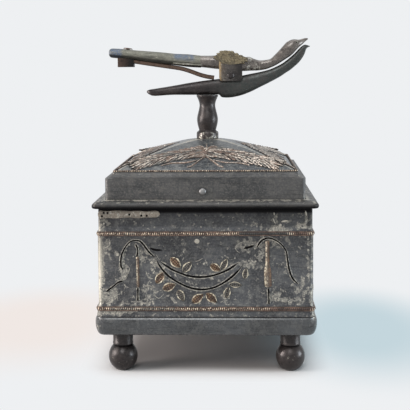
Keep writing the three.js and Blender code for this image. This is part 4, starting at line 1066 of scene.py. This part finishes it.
# Height of each row of feathers over the post, and the x that it ends and starts at
FEATHER_ROWS = [(27.7, 9, 16), (26.4, 7, 19), (25.1, 6, 22), (23.8, 7, 24), (22.5, 8, 25), (21.2, 10, 23)]
FEATHER_LENGTH, FEATHER_WIDTH, FEATHER_STEP = 3.4, 1.7, 1.6
WING_THICK = 0.9
FLANK = 5.3


def make_wings():
    """Folded wings of overlapping feathers."""
    outline = smooth(WING + WING[:1], 5)[:-1]
    for name, sign in (("near", -1), ("far", 1)):
        wing = Form().skin([[(x, z, rise, 0.2, 0.2, 1) for x, z in outline] for rise in (0, WING_THICK)])
        for row, (height, first, last) in enumerate(FEATHER_ROWS):
            x = last
            while x > first:
                leaf(wing, x, height - 0.02 * abs(x - 10), 172 - 5 * row, FEATHER_LENGTH, FEATHER_WIDTH,
                     1, 1, FEATHER_SECTION, 5)
                x -= FEATHER_STEP
        wing.mapped(lambda x, z, rise: (x, sign * (FLANK + max(rise, 0)), post_top + z))
        piece(f"feathered_wing_{name}", "upper_jaw", wing, GILT, [f"wing_{name}"])


RIB_LINE = [(-22, 20.9), (-12, 20), (-3, 19.4)]
RIB_WIDTH = 1.3
PATCH_START, PATCH_END = -20.8, -9.5


def tail_marks(x, up):
    """Painted shade on the underside, a painted blue reflection on the rounded tip, and a blue patch high on
    each flank.
    """
    tip = smooth_step(x, -54.5, -56)
    patch = smooth_step(x, PATCH_START - 0.5, PATCH_START + 0.5)
    patch *= smooth_step(x, PATCH_END + 0.5, PATCH_END - 0.5)
    return 0.1, smooth_step(up, 0.1, -0.5) * 0.62, max(tip, patch * smooth_step(up, 0.05, 0.3))


def make_tail():
    tail = loft(TAIL, marks=tail_marks)
    rib = Form()
    strip(rib, smooth(RIB_LINE, 6), RIB_SECTION, RIB_WIDTH)
    for sign in (-1, 1):
        first = len(tail.points)
        tail.points += [Vector((p.x, sign * (4.3 + p.z), post_top + p.y)) for p in rib.points]
        tail.marks += rib.marks
        tail.faces += [tuple(first + corner for corner in face) for face in rib.faces]
    piece("tail_feathers", "upper_jaw", tail, TAIL_IRON, ["tail_plate"])


SPRING_SECTION = [(-1, 0.6), (-0.8, 1), (0.8, 1), (1, 0.6), (1, -0.6), (0.8, -1), (-0.8, -1), (-1, -0.6)]


def make_spring():
    """Leaf spring that bends between the tail and the lower arm."""
    path = smooth(SPRING_PATH, 5)
    half_thick, half_wide = 1.35, 3
    rings = []
    for i, (x, z) in enumerate(path):
        along = direction(path, i)
        rings.append([(x - along.y * up * half_thick, across * half_wide,
                       post_top + z + along.x * up * half_thick, 0, 0, 0)
                      for across, up in SPRING_SECTION])
    spring = piece("bending_spring", "upper_jaw", Form().skin(rings), SPRING)
    spring.parent = None
    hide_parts("leaf_spring")
    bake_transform(spring)


TAIL_UNDERSIDE = 24.4


def make_spring_block():
    """Block that clamps the spring's end under the tail."""
    low, high = node_box("spring_block")
    corners = [(low.x, low.y, 0.35), (high.x, low.y, 0.8), (high.x, high.y, 0.8), (low.x, high.y, 0.35)]
    block = Form().skin([[(x, y, z, 0, grime, 0) for x, y, grime in corners]
                         for z in (low.z, post_top + TAIL_UNDERSIDE)])
    piece("clamp_block", "upper_jaw", block, SPRING, ["spring_block"])


# Camera, light and floor
def make_camera():
    data = bpy.data.cameras.new("camera")
    data.sensor_width = 36
    data.lens = 81.94
    data.shift_y = -0.139
    data.clip_start, data.clip_end = 0.01, 20
    camera = linked("camera", data)
    place = (0.0183, -0.6075, 0.1799)
    yaw, tip, roll = 0.033, math.radians(90 - 4.6), -0.007
    turn = Matrix.Rotation(yaw, 4, "Z") @ Matrix.Rotation(tip, 4, "X") @ Matrix.Rotation(roll, 4, "Z")
    camera.matrix_world = Matrix.Translation(place) @ turn
    bpy.context.scene.camera = camera


LAMP_TARGET = Vector((0, 0, 0.1))

# Name, place, size, power and tone of each lamp
LAMPS = [
    ("warm_left", (-0.95, -0.42, 0.4), 0.45, 8, (1, 0.92, 0.88)),
    ("low_left", (-0.95, -0.2, 0.13), 0.5, 7, (1, 0.92, 0.88)),
    ("low_right", (0.95, -0.2, 0.13), 0.5, 7, (0.84, 0.93, 1)),
    ("soft_top", (0, -0.1, 1.2), 1.1, 5, (1, 1, 1)),
    ("front_fill", (-0.1, -1.05, 0.9), 0.6, 5.5, (1, 1, 1)),
]


def make_lights():
    for name, place, size, power, tone in LAMPS:
        data = bpy.data.lights.new(name, "AREA")
        data.shape = "DISK"
        data.size = size
        data.energy = power
        data.color = tone
        light = linked(name, data)
        turn = (LAMP_TARGET - Vector(place)).to_track_quat("-Z", "Y").to_matrix().to_4x4()
        light.matrix_world = Matrix.Translation(place) @ turn


BACKDROP = colour(238, 240, 242)
WORLD_LIGHT = 0.24


def make_world():
    """Backdrop that looks pale to the camera and in reflections, and lights the object only a little."""
    world = bpy.data.worlds.new("studio")
    bpy.context.scene.world = world
    world.use_nodes = True
    nodes = Nodes(world.node_tree)
    background = nodes.tree.nodes["Background"]
    nodes.feed(background.inputs["Color"], BACKDROP)
    nodes.feed(background.inputs["Strength"], nodes.math("MAXIMUM", nodes.watched(), WORLD_LIGHT))


FLOOR_HALF = 6
FLOOR_TONE = colour(234, 234, 234)
# Tone of a painted shadow on the floor under the box
PAINTED_SHADOW_UNDER_BOX = colour(150, 147, 146)
UNDER_HALF = 45
# Metres from the square under the box over which its painted shadow ends, and over which the floor fades
UNDER_FADE = (0, 0.015)
BACKDROP_FADE = (0.01, 0.034)
# Painted coloured shadows on the floor, pink left of the box and blue right of it, and their tones
PAINTED_FLOOR_SHADOWS = [([((-125, 55, 0), (70, 95, 20), 1.0)], colour(240, 232, 228)),
               ([((106, 40, 0), (60, 100, 20), 1.0)], colour(196, 214, 221))]


def make_floor():
    """Pale floor that shows the shadow near the object, with a painted shadow under the box and painted pink
    and blue shadows beside it, and fades into the backdrop far from it.
    """
    mesh = bpy.data.meshes.new("floor")
    corners = [(-FLOOR_HALF, -FLOOR_HALF, 0), (FLOOR_HALF, -FLOOR_HALF, 0), (FLOOR_HALF, FLOOR_HALF, 0),
               (-FLOOR_HALF, FLOOR_HALF, 0)]
    mesh.from_pydata(corners, [], [(0, 1, 2, 3)])
    floor = linked("floor", mesh)
    shader = Shader("pale_floor")
    outside = shader.vector("SUBTRACT", shader.vector("ABSOLUTE", shader.place), [UNDER_HALF * METRE] * 3)
    reach = shader.vector("LENGTH", shader.vector("MAXIMUM", outside), output="Value")
    # Painted shadow: a darker tone in the square under the box, fading out just outside it
    near_tone, far_tone = shader.cover(PAINTED_SHADOW_UNDER_BOX, FLOOR_TONE, reach, *UNDER_FADE), BACKDROP
    # Painted pink and blue shadows, on the lit floor and on the backdrop's glow alike
    for places, shadow_tone in PAINTED_FLOOR_SHADOWS:
        share = shader.spots(places)
        near_tone = shader.mix(share, near_tone, shadow_tone)
        far_tone = shader.mix(share, far_tone, shadow_tone)
    shader.finish(near_tone, 0.9, 0.0, 0.1)
    share = shader.math("MULTIPLY", shader.watched(), shader.range(reach, *BACKDROP_FADE))
    glow = shader.node("ShaderNodeEmission", {"Color": far_tone, "Strength": 1.0})
    blend = shader.node("ShaderNodeMixShader", {0: share, 1: shader.surface.outputs[0], 2: glow})
    shader.feed(shader.tree.nodes["Material Output"].inputs["Surface"], blend)
    mesh.materials.append(shader.material)


make_camera()
finish_cad_nodes()
make_walls()
make_ropes()
make_base()
make_feet()
make_wall_relief()
make_front_flakes()
make_rim()
make_band()
make_dome()
make_dome_relief()
make_knob()
make_post()
make_lower_jaw()
make_bird()
make_eyes()
make_wings()
make_tail()
make_spring()
make_spring_block()
make_lights()
make_world()
make_floor()

bpy.context.scene.view_settings.view_transform = "Standard"
bpy.context.view_layer.update()
